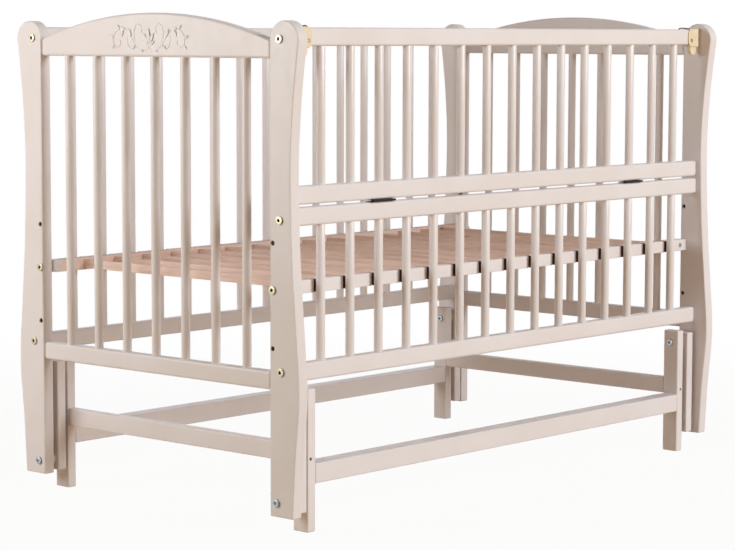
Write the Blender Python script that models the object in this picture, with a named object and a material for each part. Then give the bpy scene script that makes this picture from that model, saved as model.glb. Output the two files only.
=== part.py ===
"""Pendulum crib: a slatted cot that hangs by four swing arms inside a low stand.

Metres, Z up. The origin is on the floor under the middle of the crib, X runs along the crib, and the
side that folds down faces -Y.
"""

import math

import bmesh
import bpy
from mathutils import Matrix, Vector

# Mattress, and the room left round it
MATTRESS_LENGTH = 1.200
MATTRESS_WIDTH = 0.600
MATTRESS_END_ROOM = 0.007
MATTRESS_SIDE_ROOM = 0.012

# Fits: between pieces that touch, past a cut face, and into a piece that another is joined to
FIT_GAP = 0.0003
CUT_OVERRUN = 0.002
JOIN_DEPTH = 0.005

# Facets of round pieces and of small rounded corners
ROUND_SIDES = 12
CORNER_STEPS = 4

# Posts, with heights counted from their feet
POST_HEIGHT = 0.8535
POST_THICKNESS = 0.023
POST_FLOOR_GAP = 0.034
POST_INNER_STEP = 0.0165
POST_BELLY_WIDTH = 0.069
POST_HEAD_RADIUS = 0.034
POST_EDGE_STEPS = 3
POST_HEAD_STEPS = 10
post_edge_shares = (
    (0.000, 0.783),
    (0.128, 0.870),
    (0.261, 1.000),
    (0.401, 0.893),
    (0.547, 0.764),
    (0.729, 0.703),
    (0.851, 0.775),
    (0.930, 0.873),
)

# Side rails and their spindles: the top rails hang from the posts' heads, the bottom rails clear the
# stand's legs
SIDE_RAIL_THICKNESS = 0.022
SIDE_RAIL_HEIGHT = 0.032
TOP_RAIL_DROP = 0.0435
LEG_TOP_CLEARANCE = 0.015
SIDE_SPINDLES = 15
SPINDLE_RADIUS = 0.008
SPINDLE_SINK = 0.012

# End rails and their spindles
END_RAIL_THICKNESS = 0.020
END_RAIL_STEP = 0.0015
END_BOTTOM_DROP = 0.014
END_BOTTOM_HEIGHT = 0.033
END_TOP_DROP = 0.0645
END_TOP_HEIGHT = 0.0316
END_ARCH_RISE = 0.047
END_ARCH_CORNER = 0.005
END_ARCH_STEPS = 20
END_SPINDLES = 7
END_SPINDLE_PITCH = 0.0765

# Connector bolts through the posts into the rails, with places counted from the rails' middle lines
BOLT_RADIUS = 0.0035
BOLT_HEAD_RADIUS = 0.0075
BOLT_HEAD_HEIGHT = 0.0028
TOP_BOLT_INSET = 0.004
TOP_BOLT_DROP = 0.004
HINGE_BOLT_DROP = 0.005
BOTTOM_BOLT_INSET = 0.001
BOTTOM_BOLT_RISE = 0.003

# Mattress base: rails bolted at the middle one of three levels, and slats on edge
BASE_LOW_RISE = 0.0585
BASE_MIDDLE_STEP = 0.101
BASE_HIGH_STEP = 0.081
BASE_RAIL_DEPTH = 0.024
BASE_RAIL_SIDE_GAP = 0.0015
BASE_RAIL_COVER = 0.0033
BASE_RAIL_RISE = 0.0011
BASE_BOLT_INSET = 0.008
BASE_GROOVE_DEPTH = 0.009
SLAT_THICKNESS = 0.008
SLAT_HEIGHT = 0.0165
NUT_RECESS_RADIUS = 0.005
NUT_RECESS_DEPTH = 0.0008
NUT_RECESS_INSET = 0.0225

# Stand, whose legs lie with their middles a little outside the pivots
LEG_THICKNESS = 0.020
LEG_WIDTH = 0.0356
LEG_OUTSET = 0.0015
LEG_OVER_PIVOT = 0.025
STAND_RAIL_LEVEL = 0.0845
STAND_RAIL_HEIGHT = 0.036
CROSS_RAIL_HEIGHT = 0.033

# Swing arms, whose middles lie a little outside the pivots too, and their pivot bolts
SWING_RADIUS = 0.169
LOWER_PIVOT_RISE = 0.025
PIVOT_OUTSET = 0.0163
ARM_THICKNESS = 0.020
ARM_WIDTH = 0.0442
ARM_OUTSET = 0.0023
ARM_OVER_PIVOT = 0.019
ARM_UNDER_PIVOT = 0.021
SPACER_LENGTH = 0.0075
SPACER_RADIUS = 0.012
PIVOT_RADIUS = 0.004
PIVOT_HEAD_RADIUS = 0.007
PIVOT_HEAD_HEIGHT = 0.004
PIVOT_NUT_RADIUS = 0.0065
PIVOT_NUT_HEIGHT = 0.0045

# Drop side and its hinges
DROP_SIDE_ROOM = 0.0015
FIXED_PANEL_HEIGHT = 0.30325
HINGE_RAIL_GAP = 0.0045
HINGE_PITCHES = 5
HINGE_LENGTH = 0.060
HINGE_MIDDLE_LENGTH = 0.022
HINGE_LEAF_WIDTH = 0.015
HINGE_LEAF_THICKNESS = 0.0012
HINGE_KNUCKLE_RADIUS = 0.0019
HINGE_PIN_RADIUS = 0.0010

# Latches at the ends of the drop side's top rail
LATCH_END_INSET = 0.004
LATCH_PLATE_LENGTH = 0.035
LATCH_PLATE_THICKNESS = 0.0025
LATCH_OVER = 0.001
LATCH_UNDER = 0.0035
LATCH_CORNER = 0.008
LATCH_WALL = 0.0035
LATCH_CAP = 0.0018
TAB_WIDTH = 0.0217
TAB_DEPTH = 0.0084
TAB_FINGER = 0.0165
TAB_TRAVEL = 0.006

# Places along X, from the middle outwards
POST_X = MATTRESS_LENGTH / 2 + MATTRESS_END_ROOM
END_X = POST_X + POST_THICKNESS
ARM_OUTER_X = POST_X - SPACER_LENGTH
ARM_INNER_X = ARM_OUTER_X - ARM_THICKNESS
LEG_OUTER_X = ARM_INNER_X - SPACER_LENGTH
LEG_INNER_X = LEG_OUTER_X - LEG_THICKNESS
SIDE_PITCH = 2 * POST_X / (SIDE_SPINDLES + 1)
DROP_X = POST_X - DROP_SIDE_ROOM
LATCH_X = DROP_X - LATCH_END_INSET
END_RAIL_X = END_X - END_RAIL_STEP - END_RAIL_THICKNESS / 2
HINGE_X = HINGE_PITCHES * SIDE_PITCH

# Places along Y, from the middle outwards
RAIL_INNER_Y = MATTRESS_WIDTH / 2 + MATTRESS_SIDE_ROOM
RAIL_Y = RAIL_INNER_Y + SIDE_RAIL_THICKNESS / 2
RAIL_OUTER_Y = RAIL_INNER_Y + SIDE_RAIL_THICKNESS
POST_INNER_Y = RAIL_INNER_Y - POST_INNER_STEP
PIVOT_Y = POST_INNER_Y + PIVOT_OUTSET
LEG_INNER_Y = PIVOT_Y + LEG_OUTSET - LEG_WIDTH / 2
LEG_OUTER_Y = LEG_INNER_Y + LEG_WIDTH
ARM_INNER_Y = PIVOT_Y + ARM_OUTSET - ARM_WIDTH / 2
ARM_OUTER_Y = ARM_INNER_Y + ARM_WIDTH
BASE_OUTER_Y = RAIL_INNER_Y - BASE_RAIL_SIDE_GAP
BASE_INNER_Y = BASE_OUTER_Y - BASE_RAIL_DEPTH
BASE_BOLT_Y = BASE_OUTER_Y - BASE_BOLT_INSET
HINGE_Y = RAIL_OUTER_Y + HINGE_KNUCKLE_RADIUS + FIT_GAP

# Heights above the floor
FOOT_Z = POST_FLOOR_GAP
POST_TOP_Z = FOOT_Z + POST_HEIGHT
LOWER_PIVOT_Z = FOOT_Z + LOWER_PIVOT_RISE
UPPER_PIVOT_Z = LOWER_PIVOT_Z + SWING_RADIUS
LEG_TOP_Z = UPPER_PIVOT_Z + LEG_OVER_PIVOT
TOP_RAIL_Z = POST_TOP_Z - TOP_RAIL_DROP
BOTTOM_RAIL_Z = LEG_TOP_Z + LEG_TOP_CLEARANCE
HINGE_Z = BOTTOM_RAIL_Z + FIXED_PANEL_HEIGHT
LOWER_HINGE_RAIL_Z = HINGE_Z - HINGE_RAIL_GAP / 2 - SIDE_RAIL_HEIGHT
UPPER_HINGE_RAIL_Z = HINGE_Z + HINGE_RAIL_GAP / 2
END_TOP_Z = POST_TOP_Z - END_TOP_DROP
END_BOTTOM_Z = BOTTOM_RAIL_Z - END_BOTTOM_DROP
BASE_BOLT_Z = BOTTOM_RAIL_Z + BASE_LOW_RISE + BASE_MIDDLE_STEP
BASE_Z = BASE_BOLT_Z + BASE_RAIL_RISE
BASE_RAIL_HEIGHT = SLAT_HEIGHT + 2 * BASE_RAIL_COVER

SIDES = {"front": -1, "back": 1}
ENDS = {"left": -1, "right": 1}

# Colour, roughness and metallic value of each finish
FINISHES = {
    "cream lacquer": ((0.80, 0.72, 0.66, 1.0), 0.38, 0.0),
    "raw beech": ((0.62, 0.40, 0.33, 1.0), 0.60, 0.0),
    "zinc": ((0.55, 0.56, 0.58, 1.0), 0.35, 1.0),
    "dark bronze": ((0.05, 0.04, 0.035, 1.0), 0.40, 1.0),
    "ivory plastic": ((0.86, 0.72, 0.48, 1.0), 0.35, 0.0),
}


def clear_scene():
    """Removes whatever the open scene holds."""
    for thing in list(bpy.data.objects):
        bpy.data.objects.remove(thing, do_unlink=True)


def material(name, finish):
    """A Principled material in one of the finishes."""
    colour, roughness, metallic = FINISHES[finish]
    made = bpy.data.materials.new(f"{name} {finish}")
    made.use_nodes = True
    made.diffuse_color = colour
    shader = made.node_tree.nodes["Principled BSDF"]
    shader.inputs["Base Color"].default_value = colour
    shader.inputs["Roughness"].default_value = roughness
    shader.inputs["Metallic"].default_value = metallic
    return made


def axis_empty(name, place, parent=None):
    """An empty on a joint's axis, which carries the pieces that move with the joint."""
    empty = bpy.data.objects.new(name, None)
    empty.location = Vector(place)
    if parent:
        empty.parent = parent
        empty.location = Vector(place) - world_place(parent)
    bpy.context.scene.collection.objects.link(empty)
    return empty


def world_place(thing):
    """Where an unrotated object's origin lies, through its parents."""
    place = thing.location.copy()
    if thing.parent:
        place += world_place(thing.parent)
    return place


def mesh_from(name, shapes, origin):
    """One mesh from a list of functions that each add a closed shape in world coordinates."""
    bm = bmesh.new()
    for shape in shapes:
        shape(bm)
    bmesh.ops.translate(bm, verts=bm.verts, vec=-Vector(origin))
    bmesh.ops.recalc_face_normals(bm, faces=bm.faces)
    mesh = bpy.data.meshes.new(name)
    bm.to_mesh(mesh)
    bm.free()
    mesh.shade_smooth()
    mesh.set_sharp_from_angle(angle=math.radians(35))
    return mesh


def piece(name, shape, finish, origin, parent=None):
    """One sub-part, with its own material and its origin where it is asked for."""
    made = bpy.data.objects.new(name, mesh_from(name, [shape], origin))
    made.data.materials.append(material(name, finish))
    made.location = Vector(origin)
    if parent:
        made.parent = parent
        made.location = Vector(origin) - world_place(parent)
    bpy.context.scene.collection.objects.link(made)
    return made


def combine(target, operation, shapes):
    """Joins the shapes to the target with UNION, or cuts them from it with DIFFERENCE."""
    name = f"{target.name} {operation.lower()}"
    tool = bpy.data.objects.new(name, mesh_from(name, shapes, world_place(target)))
    tool.parent = target
    tool.hide_render = True
    tool.display_type = "WIRE"
    bpy.context.scene.collection.objects.link(tool)
    modifier = target.modifiers.new(operation.title(), "BOOLEAN")
    modifier.operation = operation
    modifier.solver = "EXACT"
    modifier.object = tool


def block(xs, ys, zs):
    """A box between two places along each axis, given in either order."""

    def add(bm):
        low = Vector((min(xs), min(ys), min(zs)))
        high = Vector((max(xs), max(ys), max(zs)))
        size = Matrix.Diagonal((high - low).to_4d())
        size[3][3] = 1
        bmesh.ops.create_cube(bm, size=1, matrix=Matrix.Translation((low + high) / 2) @ size)

    return add


def prism(outline, axis, start, end):
    """A flat outline pushed along an axis. Its points hold the other two axes, in X, Y, Z order."""

    def add(bm):
        corners = [Vector(point) for point in outline]
        verts = []
        for point in corners:
            place = list(point)
            place.insert(axis, start)
            verts.append(bm.verts.new(place))
        face = bm.faces.new(verts)
        pushed = bmesh.ops.extrude_face_region(bm, geom=[face])
        step = Vector((0, 0, 0))
        step[axis] = end - start
        moved = [item for item in pushed["geom"] if isinstance(item, bmesh.types.BMVert)]
        bmesh.ops.translate(bm, verts=moved, vec=step)

    return add


def turned(axis, centre, steps):
    """A round solid along an axis, from (start, end, radius) steps that follow one another."""

    def add(bm):
        first, second = [i for i in range(3) if i != axis]
        rings = []
        for start, end, radius in steps:
            for place in (start, end):
                ring = []
                for k in range(ROUND_SIDES):
                    angle = 2 * math.pi * (k + 0.5) / ROUND_SIDES
                    point = [0, 0, 0]
                    point[axis] = place
                    point[first] = centre[0] + radius * math.cos(angle)
                    point[second] = centre[1] + radius * math.sin(angle)
                    ring.append(bm.verts.new(point))
                rings.append(ring)
        for ring, following in zip(rings, rings[1:]):
            for k in range(ROUND_SIDES):
                n = (k + 1) % ROUND_SIDES
                bm.faces.new((ring[k], ring[n], following[n], following[k]))
        bm.faces.new(rings[0])
        bm.faces.new(rings[-1])

    return add


def arc(centre, radius, start, end, steps):
    """Points of an arc between two angles in degrees."""
    points = []
    for k in range(steps + 1):
        angle = math.radians(start + (end - start) * k / steps)
        points.append((centre[0] + radius * math.cos(angle), centre[1] + radius * math.sin(angle)))
    return points


def smooth_line(points, steps):
    """Points of a smooth curve through the given ones."""
    ends = [points[0], *points, points[-1]]
    curve = []
    for before, start, end, after in zip(ends, ends[1:], ends[2:], ends[3:]):
        for k in range(steps):
            t = k / steps
            place = []
            for a, b, c, d in zip(before, start, end, after):
                bend = (2 * a - 5 * b + 4 * c - d) * t**2 + (3 * b - a - 3 * c + d) * t**3
                place.append(b + ((c - a) * t + bend) / 2)
            curve.append(tuple(place))
    curve.append(points[-1])
    return curve


def bolt_hole(y, z, inner_x, outer_x, radius):
    """Cutter for a bolt's hole along X, with running room."""
    over = math.copysign(CUT_OVERRUN, outer_x)
    return turned(0, (y, z), [(inner_x - over, outer_x + over, radius + FIT_GAP)])


def connector_bolts(y, z):
    """The two bolts of a rail, through the posts at both ends, with their heads on the posts."""
    under_head = END_X + FIT_GAP
    shapes = []
    for end in ENDS.values():
        steps = [
            (end * (POST_X - JOIN_DEPTH), end * under_head, BOLT_RADIUS),
            (end * under_head, end * (under_head + BOLT_HEAD_HEIGHT), BOLT_HEAD_RADIUS),
        ]
        shapes.append(turned(0, (y, z), steps))
    return shapes


def upright_rod(x, y, low, high, radius):
    """A spindle, or with more radius the cutter for its socket."""
    return turned(2, (x, y), [(low, high, radius)])


def side_spindle_places(side):
    """Middles of the spindles along one side."""
    first = -(SIDE_SPINDLES - 1) / 2
    return [((first + k) * SIDE_PITCH, side * RAIL_Y) for k in range(SIDE_SPINDLES)]


def end_spindle_places(end):
    """Middles of the spindles in one end."""
    first = -(END_SPINDLES - 1) / 2
    return [(end * END_RAIL_X, (first + k) * END_SPINDLE_PITCH) for k in range(END_SPINDLES)]


def spindles(places, rail_top, rail_above):
    """Rods from inside the rail that carries them to the sockets of the rail above."""
    top = rail_above + SPINDLE_SINK - FIT_GAP
    return [upright_rod(x, y, rail_top - JOIN_DEPTH, top, SPINDLE_RADIUS) for x, y in places]


def sockets(places, rail_bottom):
    """Cutters for the spindles' blind holes in a rail's underside."""
    low = rail_bottom - CUT_OVERRUN
    high = rail_bottom + SPINDLE_SINK
    return [upright_rod(x, y, low, high, SPINDLE_RADIUS + FIT_GAP) for x, y in places]


def rail_bolt_place(side, rail_z, inset, drop):
    """Where a side rail's bolts run: in from its middle line, and down from its middle height."""
    return side * (RAIL_Y - inset), rail_z + SIDE_RAIL_HEIGHT / 2 - drop


def top_bolt(side):
    return rail_bolt_place(side, TOP_RAIL_Z, TOP_BOLT_INSET, TOP_BOLT_DROP)


def bottom_bolt(side):
    return rail_bolt_place(side, BOTTOM_RAIL_Z, BOTTOM_BOLT_INSET, -BOTTOM_BOLT_RISE)


def hinge_bolt(side):
    return rail_bolt_place(side, LOWER_HINGE_RAIL_Z, TOP_BOLT_INSET, HINGE_BOLT_DROP)


def base_bolts(side):
    """The post's three places for the mattress base, the one in use first."""
    heights = (BASE_BOLT_Z, BASE_BOLT_Z + BASE_HIGH_STEP, BASE_BOLT_Z - BASE_MIDDLE_STEP)
    return [(side * BASE_BOLT_Y, z) for z in heights]


def corner_name(stem, side_name, end_name):
    return f"{stem}_{side_name}_{end_name}"


def leg(name, side, end):
    """An upright of the stand, with the upper pivot's hole."""
    ys = (side * LEG_INNER_Y, side * LEG_OUTER_Y)
    shape = block((end * LEG_INNER_X, end * LEG_OUTER_X), ys, (0, LEG_TOP_Z))
    made = piece(name, shape, "cream lacquer", (end * LEG_OUTER_X, side * PIVOT_Y, 0))
    hole = bolt_hole(side * PIVOT_Y, UPPER_PIVOT_Z, end * LEG_INNER_X, end * LEG_OUTER_X, PIVOT_RADIUS)
    combine(made, "DIFFERENCE", [hole])


def stand_rail(name, side):
    """A long rail between two legs, as deep as they are."""
    reach = LEG_INNER_X - FIT_GAP
    zs = (STAND_RAIL_LEVEL, STAND_RAIL_LEVEL + STAND_RAIL_HEIGHT)
    shape = block((-reach, reach), (side * LEG_INNER_Y, side * LEG_OUTER_Y), zs)
    piece(name, shape, "cream lacquer", (0, side * LEG_OUTER_Y, STAND_RAIL_LEVEL))


def stand_cross(name, end):
    """A cross rail between the two legs of an end, from the long rails' top upwards."""
    reach = LEG_INNER_Y - FIT_GAP
    low = STAND_RAIL_LEVEL + STAND_RAIL_HEIGHT
    shape = block((end * LEG_INNER_X, end * LEG_OUTER_X), (-reach, reach), (low, low + CROSS_RAIL_HEIGHT))
    piece(name, shape, "cream lacquer", (end * LEG_OUTER_X, 0, low))


def swing_arm(name, side, end, parent):
    """A board with a hole for each of its two pivots."""
    ys = (side * ARM_INNER_Y, side * ARM_OUTER_Y)
    zs = (LOWER_PIVOT_Z - ARM_UNDER_PIVOT, UPPER_PIVOT_Z + ARM_OVER_PIVOT)
    shape = block((end * ARM_INNER_X, end * ARM_OUTER_X), ys, zs)
    origin = (end * ARM_INNER_X, side * PIVOT_Y, UPPER_PIVOT_Z)
    made = piece(name, shape, "cream lacquer", origin, parent)
    holes = [
        bolt_hole(side * PIVOT_Y, z, end * ARM_INNER_X, end * ARM_OUTER_X, PIVOT_RADIUS)
        for z in (LOWER_PIVOT_Z, UPPER_PIVOT_Z)
    ]
    combine(made, "DIFFERENCE", holes)


def upper_pivot(name, side, end):
    """Bolt through leg and arm: head inside the leg, spacer ring between, nut outside the arm."""
    head = LEG_INNER_X - FIT_GAP
    nut = ARM_OUTER_X + FIT_GAP
    stations = [
        (head - PIVOT_HEAD_HEIGHT, head, PIVOT_HEAD_RADIUS),
        (head, LEG_OUTER_X + FIT_GAP, PIVOT_RADIUS),
        (LEG_OUTER_X + FIT_GAP, ARM_INNER_X - FIT_GAP, SPACER_RADIUS),
        (ARM_INNER_X - FIT_GAP, nut, PIVOT_RADIUS),
        (nut, nut + PIVOT_NUT_HEIGHT, PIVOT_NUT_RADIUS),
    ]
    steps = [(end * a, end * b, radius) for a, b, radius in stations]
    shape = turned(0, (side * PIVOT_Y, UPPER_PIVOT_Z), steps)
    piece(name, shape, "zinc", (end * head, side * PIVOT_Y, UPPER_PIVOT_Z))


def lower_pivot(name, side, end, parent):
    """Bolt through post and arm: head outside the post, spacer ring between, nut inside the arm."""
    head = END_X + FIT_GAP
    nut = ARM_INNER_X - FIT_GAP
    stations = [
        (head + PIVOT_HEAD_HEIGHT, head, PIVOT_HEAD_RADIUS),
        (head, POST_X - FIT_GAP, PIVOT_RADIUS),
        (POST_X - FIT_GAP, ARM_OUTER_X + FIT_GAP, SPACER_RADIUS),
        (ARM_OUTER_X + FIT_GAP, nut, PIVOT_RADIUS),
        (nut, nut - PIVOT_NUT_HEIGHT, PIVOT_NUT_RADIUS),
    ]
    steps = [(end * a, end * b, radius) for a, b, radius in stations]
    shape = turned(0, (side * PIVOT_Y, LOWER_PIVOT_Z), steps)
    piece(name, shape, "zinc", (end * head, side * PIVOT_Y, LOWER_PIVOT_Z), parent)


def post_outline(side):
    """A post seen from its end: straight inner edge, domed head, wavy outer edge."""
    head_level = POST_HEIGHT - POST_HEAD_RADIUS
    wave = [(POST_BELLY_WIDTH * width, head_level * height) for height, width in post_edge_shares]
    wave.append((2 * POST_HEAD_RADIUS, head_level))
    outline = [(0, 0)]
    outline += smooth_line(wave, POST_EDGE_STEPS)
    outline += arc((POST_HEAD_RADIUS, head_level), POST_HEAD_RADIUS, 0, 180, POST_HEAD_STEPS)[1:]
    return [(side * (POST_INNER_Y + out), FOOT_Z + up) for out, up in outline]


def post(name, side, end, parent):
    """A post with the rails' bolt holes, two spare ones for the base, and the lower pivot's hole."""
    shape = prism(post_outline(side), 0, end * POST_X, end * END_X)
    origin = (end * POST_X, side * POST_INNER_Y, FOOT_Z)
    made = piece(name, shape, "cream lacquer", origin, parent)
    places = [top_bolt(side), bottom_bolt(side), *base_bolts(side)]
    if side == SIDES["front"]:
        places.append(hinge_bolt(side))
    xs = (end * POST_X, end * END_X)
    holes = [bolt_hole(y, z, *xs, BOLT_RADIUS) for y, z in places]
    holes.append(bolt_hole(side * PIVOT_Y, LOWER_PIVOT_Z, *xs, PIVOT_RADIUS))
    combine(made, "DIFFERENCE", holes)


def end_top_rail(name, end, parent):
    """The arched rail of an end, with sockets for its spindles."""
    half = POST_INNER_Y - FIT_GAP
    radius = (half**2 + END_ARCH_RISE**2) / (2 * END_ARCH_RISE)
    centre_z = END_TOP_Z + END_TOP_HEIGHT + END_ARCH_RISE - radius
    corner_y = half - END_ARCH_CORNER
    spread = math.asin(corner_y / (radius - END_ARCH_CORNER))
    corner_z = centre_z + (radius - END_ARCH_CORNER) * math.cos(spread)
    low, high = 90 - math.degrees(spread), 90 + math.degrees(spread)
    outline = [(-half, END_TOP_Z), (half, END_TOP_Z)]
    outline += arc((corner_y, corner_z), END_ARCH_CORNER, 0, low, CORNER_STEPS)[:-1]
    outline += arc((0, centre_z), radius, low, high, END_ARCH_STEPS)
    outline += arc((-corner_y, corner_z), END_ARCH_CORNER, high, 180, CORNER_STEPS)[1:]
    xs = (END_RAIL_X - END_RAIL_THICKNESS / 2, END_RAIL_X + END_RAIL_THICKNESS / 2)
    shape = prism(outline, 0, end * xs[0], end * xs[1])
    made = piece(name, shape, "cream lacquer", (end * END_RAIL_X, 0, END_TOP_Z), parent)
    combine(made, "DIFFERENCE", sockets(end_spindle_places(end), END_TOP_Z))


def end_bottom_rail(name, end, parent):
    """The bottom rail of an end, with the spindles that it carries."""
    half = POST_INNER_Y - FIT_GAP
    top = END_BOTTOM_Z + END_BOTTOM_HEIGHT
    xs = (END_RAIL_X - END_RAIL_THICKNESS / 2, END_RAIL_X + END_RAIL_THICKNESS / 2)
    shape = block((end * xs[0], end * xs[1]), (-half, half), (END_BOTTOM_Z, top))
    made = piece(name, shape, "cream lacquer", (end * END_RAIL_X, 0, END_BOTTOM_Z), parent)
    combine(made, "UNION", spindles(end_spindle_places(end), top, END_TOP_Z))


def side_rail(name, side, z, reach, parent):
    """A plain rail along one side."""
    ys = (side * RAIL_INNER_Y, side * RAIL_OUTER_Y)
    shape = block((-reach, reach), ys, (z, z + SIDE_RAIL_HEIGHT))
    return piece(name, shape, "cream lacquer", (0, side * RAIL_Y, z), parent)


def fixed_side_rails(parent):
    """The rails that are bolted to the posts, those below with their spindles."""
    reach = POST_X - FIT_GAP
    levels = {
        "back": ("back_top_rail", TOP_RAIL_Z, top_bolt),
        "front": ("hinge_rail_lower", LOWER_HINGE_RAIL_Z, hinge_bolt),
    }
    for side_name, (upper_name, upper_z, upper_bolt) in levels.items():
        side = SIDES[side_name]
        places = side_spindle_places(side)
        upper = side_rail(upper_name, side, upper_z, reach, parent)
        combine(upper, "DIFFERENCE", sockets(places, upper_z))
        combine(upper, "UNION", connector_bolts(*upper_bolt(side)))
        lower = side_rail(f"{side_name}_bottom_rail", side, BOTTOM_RAIL_Z, reach, parent)
        uprights = spindles(places, BOTTOM_RAIL_Z + SIDE_RAIL_HEIGHT, upper_z)
        combine(lower, "UNION", uprights + connector_bolts(*bottom_bolt(side)))


def latch_body_span():
    """X range of the latch's body, which holds the tab's pocket."""
    return LATCH_X - 2 * LATCH_WALL - TAB_WIDTH - 2 * FIT_GAP, LATCH_X


def latch_body_back():
    """Y of the body's back face, measured out from the middle."""
    return RAIL_OUTER_Y - TAB_DEPTH - 2 * FIT_GAP - LATCH_WALL


def drop_side_rails(parent):
    """The two rails of the drop side: the lower one carries the spindles, the upper one is notched."""
    side = SIDES["front"]
    places = side_spindle_places(side)
    top = side_rail("drop_top_rail", side, TOP_RAIL_Z, DROP_X, parent)
    notches = []
    for end in ENDS.values():
        xs = (end * (latch_body_span()[0] - FIT_GAP), end * (DROP_X + CUT_OVERRUN))
        ys = (side * (latch_body_back() - FIT_GAP), side * (RAIL_OUTER_Y + CUT_OVERRUN))
        zs = (TOP_RAIL_Z - CUT_OVERRUN, TOP_RAIL_Z + SIDE_RAIL_HEIGHT + CUT_OVERRUN)
        notches.append(block(xs, ys, zs))
    combine(top, "DIFFERENCE", notches + sockets(places, TOP_RAIL_Z))
    low = side_rail("drop_hinge_rail", side, UPPER_HINGE_RAIL_Z, DROP_X, parent)
    combine(low, "UNION", spindles(places, UPPER_HINGE_RAIL_Z + SIDE_RAIL_HEIGHT, TOP_RAIL_Z))


def latch_plate_outline(end):
    """The latch's face: square towards the post, rounded towards the middle of the rail."""
    inner = LATCH_X - LATCH_PLATE_LENGTH
    low = TOP_RAIL_Z - LATCH_UNDER
    high = TOP_RAIL_Z + SIDE_RAIL_HEIGHT + LATCH_OVER
    outline = [(LATCH_X, low), (LATCH_X, high)]
    outline += arc((inner + LATCH_CORNER, high - LATCH_CORNER), LATCH_CORNER, 90, 180, CORNER_STEPS)
    outline += arc((inner + LATCH_CORNER, low + LATCH_CORNER), LATCH_CORNER, 180, 270, CORNER_STEPS)
    return [(end * x, z) for x, z in outline]


def latch(name, end, parent):
    """Plastic housing let into the rail's end: a face plate and a body with the tab's pocket."""
    side = SIDES["front"]
    low = TOP_RAIL_Z - LATCH_UNDER
    high = TOP_RAIL_Z + SIDE_RAIL_HEIGHT + LATCH_OVER
    back = RAIL_OUTER_Y + FIT_GAP
    front = RAIL_OUTER_Y + LATCH_PLATE_THICKNESS
    plate = prism(latch_plate_outline(end), 1, side * back, side * front)
    made = piece(name, plate, "ivory plastic", (end * LATCH_X, side * back, low), parent)
    inner, outer = latch_body_span()
    middle = (back + front) / 2
    body = block((end * inner, end * outer), (side * middle, side * latch_body_back()), (low, high))
    combine(made, "UNION", [body])
    xs = (end * (inner + LATCH_WALL), end * (outer - LATCH_WALL))
    ys = (side * RAIL_OUTER_Y, side * (latch_body_back() + LATCH_WALL))
    combine(made, "DIFFERENCE", [block(xs, ys, (low - CUT_OVERRUN, high - LATCH_CAP))])


def latch_tab(name, end, parent):
    """Finger tab that slides up into the latch: a flat bar with a round foot."""
    side = SIDES["front"]
    outer = LATCH_X - LATCH_WALL - FIT_GAP
    inner = outer - TAB_WIDTH
    low = TOP_RAIL_Z - LATCH_UNDER - TAB_FINGER
    high = TOP_RAIL_Z + SIDE_RAIL_HEIGHT + LATCH_OVER - LATCH_CAP - TAB_TRAVEL - FIT_GAP
    foot = arc((inner + TAB_WIDTH / 2, low + TAB_WIDTH / 2), TAB_WIDTH / 2, 180, 360, 2 * CORNER_STEPS)
    outline = [(end * x, z) for x, z in [*foot, (outer, high), (inner, high)]]
    front = RAIL_OUTER_Y - FIT_GAP
    shape = prism(outline, 1, side * front, side * (front - TAB_DEPTH))
    piece(name, shape, "ivory plastic", (end * outer, side * front, low), parent)


def hinge_leaf(name, end, rail_face, knuckles, parent):
    """A leaf on a rail's edge, with knuckles round the hinge line at the given X ranges."""
    side = SIDES["front"]
    middle = end * HINGE_X
    half = HINGE_LENGTH / 2
    inward = math.copysign(FIT_GAP, HINGE_Z - rail_face)
    zs = (rail_face + inward, rail_face + math.copysign(FIT_GAP + HINGE_LEAF_THICKNESS, inward))
    ys = (side * RAIL_OUTER_Y, side * (RAIL_OUTER_Y - HINGE_LEAF_WIDTH))
    shape = block((middle - half, middle + half), ys, zs)
    made = piece(name, shape, "dark bronze", (middle, side * HINGE_Y, HINGE_Z), parent)
    shapes = []
    for start, finish in knuckles:
        xs = (middle + start, middle + finish)
        shapes.append(block(xs, (side * HINGE_Y, side * (RAIL_OUTER_Y - JOIN_DEPTH)), zs))
    combine(made, "UNION", shapes)
    rolls = [
        turned(0, (side * HINGE_Y, HINGE_Z), [(middle + start, middle + finish, HINGE_KNUCKLE_RADIUS)])
        for start, finish in knuckles
    ]
    combine(made, "UNION", rolls)
    return made


def hinges(crib, drop_side):
    """Two butt hinges in the gap between the hinge rails."""
    side = SIDES["front"]
    half = HINGE_LENGTH / 2
    near = HINGE_MIDDLE_LENGTH / 2
    for end_name, end in ENDS.items():
        centre = (side * HINGE_Y, HINGE_Z)
        middle = end * HINGE_X
        lower_face = LOWER_HINGE_RAIL_Z + SIDE_RAIL_HEIGHT
        fixed = hinge_leaf(f"hinge_{end_name}_fixed", end, lower_face, [(-near, near)], crib)
        pin = turned(0, centre, [(middle - half, middle + half, HINGE_PIN_RADIUS)])
        combine(fixed, "UNION", [pin])
        ranges = [(-half, -near - FIT_GAP), (near + FIT_GAP, half)]
        moving = hinge_leaf(f"hinge_{end_name}_moving", end, UPPER_HINGE_RAIL_Z, ranges, drop_side)
        reach = half + CUT_OVERRUN
        bore = turned(0, centre, [(middle - reach, middle + reach, HINGE_PIN_RADIUS + FIT_GAP)])
        combine(moving, "DIFFERENCE", [bore])


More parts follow.
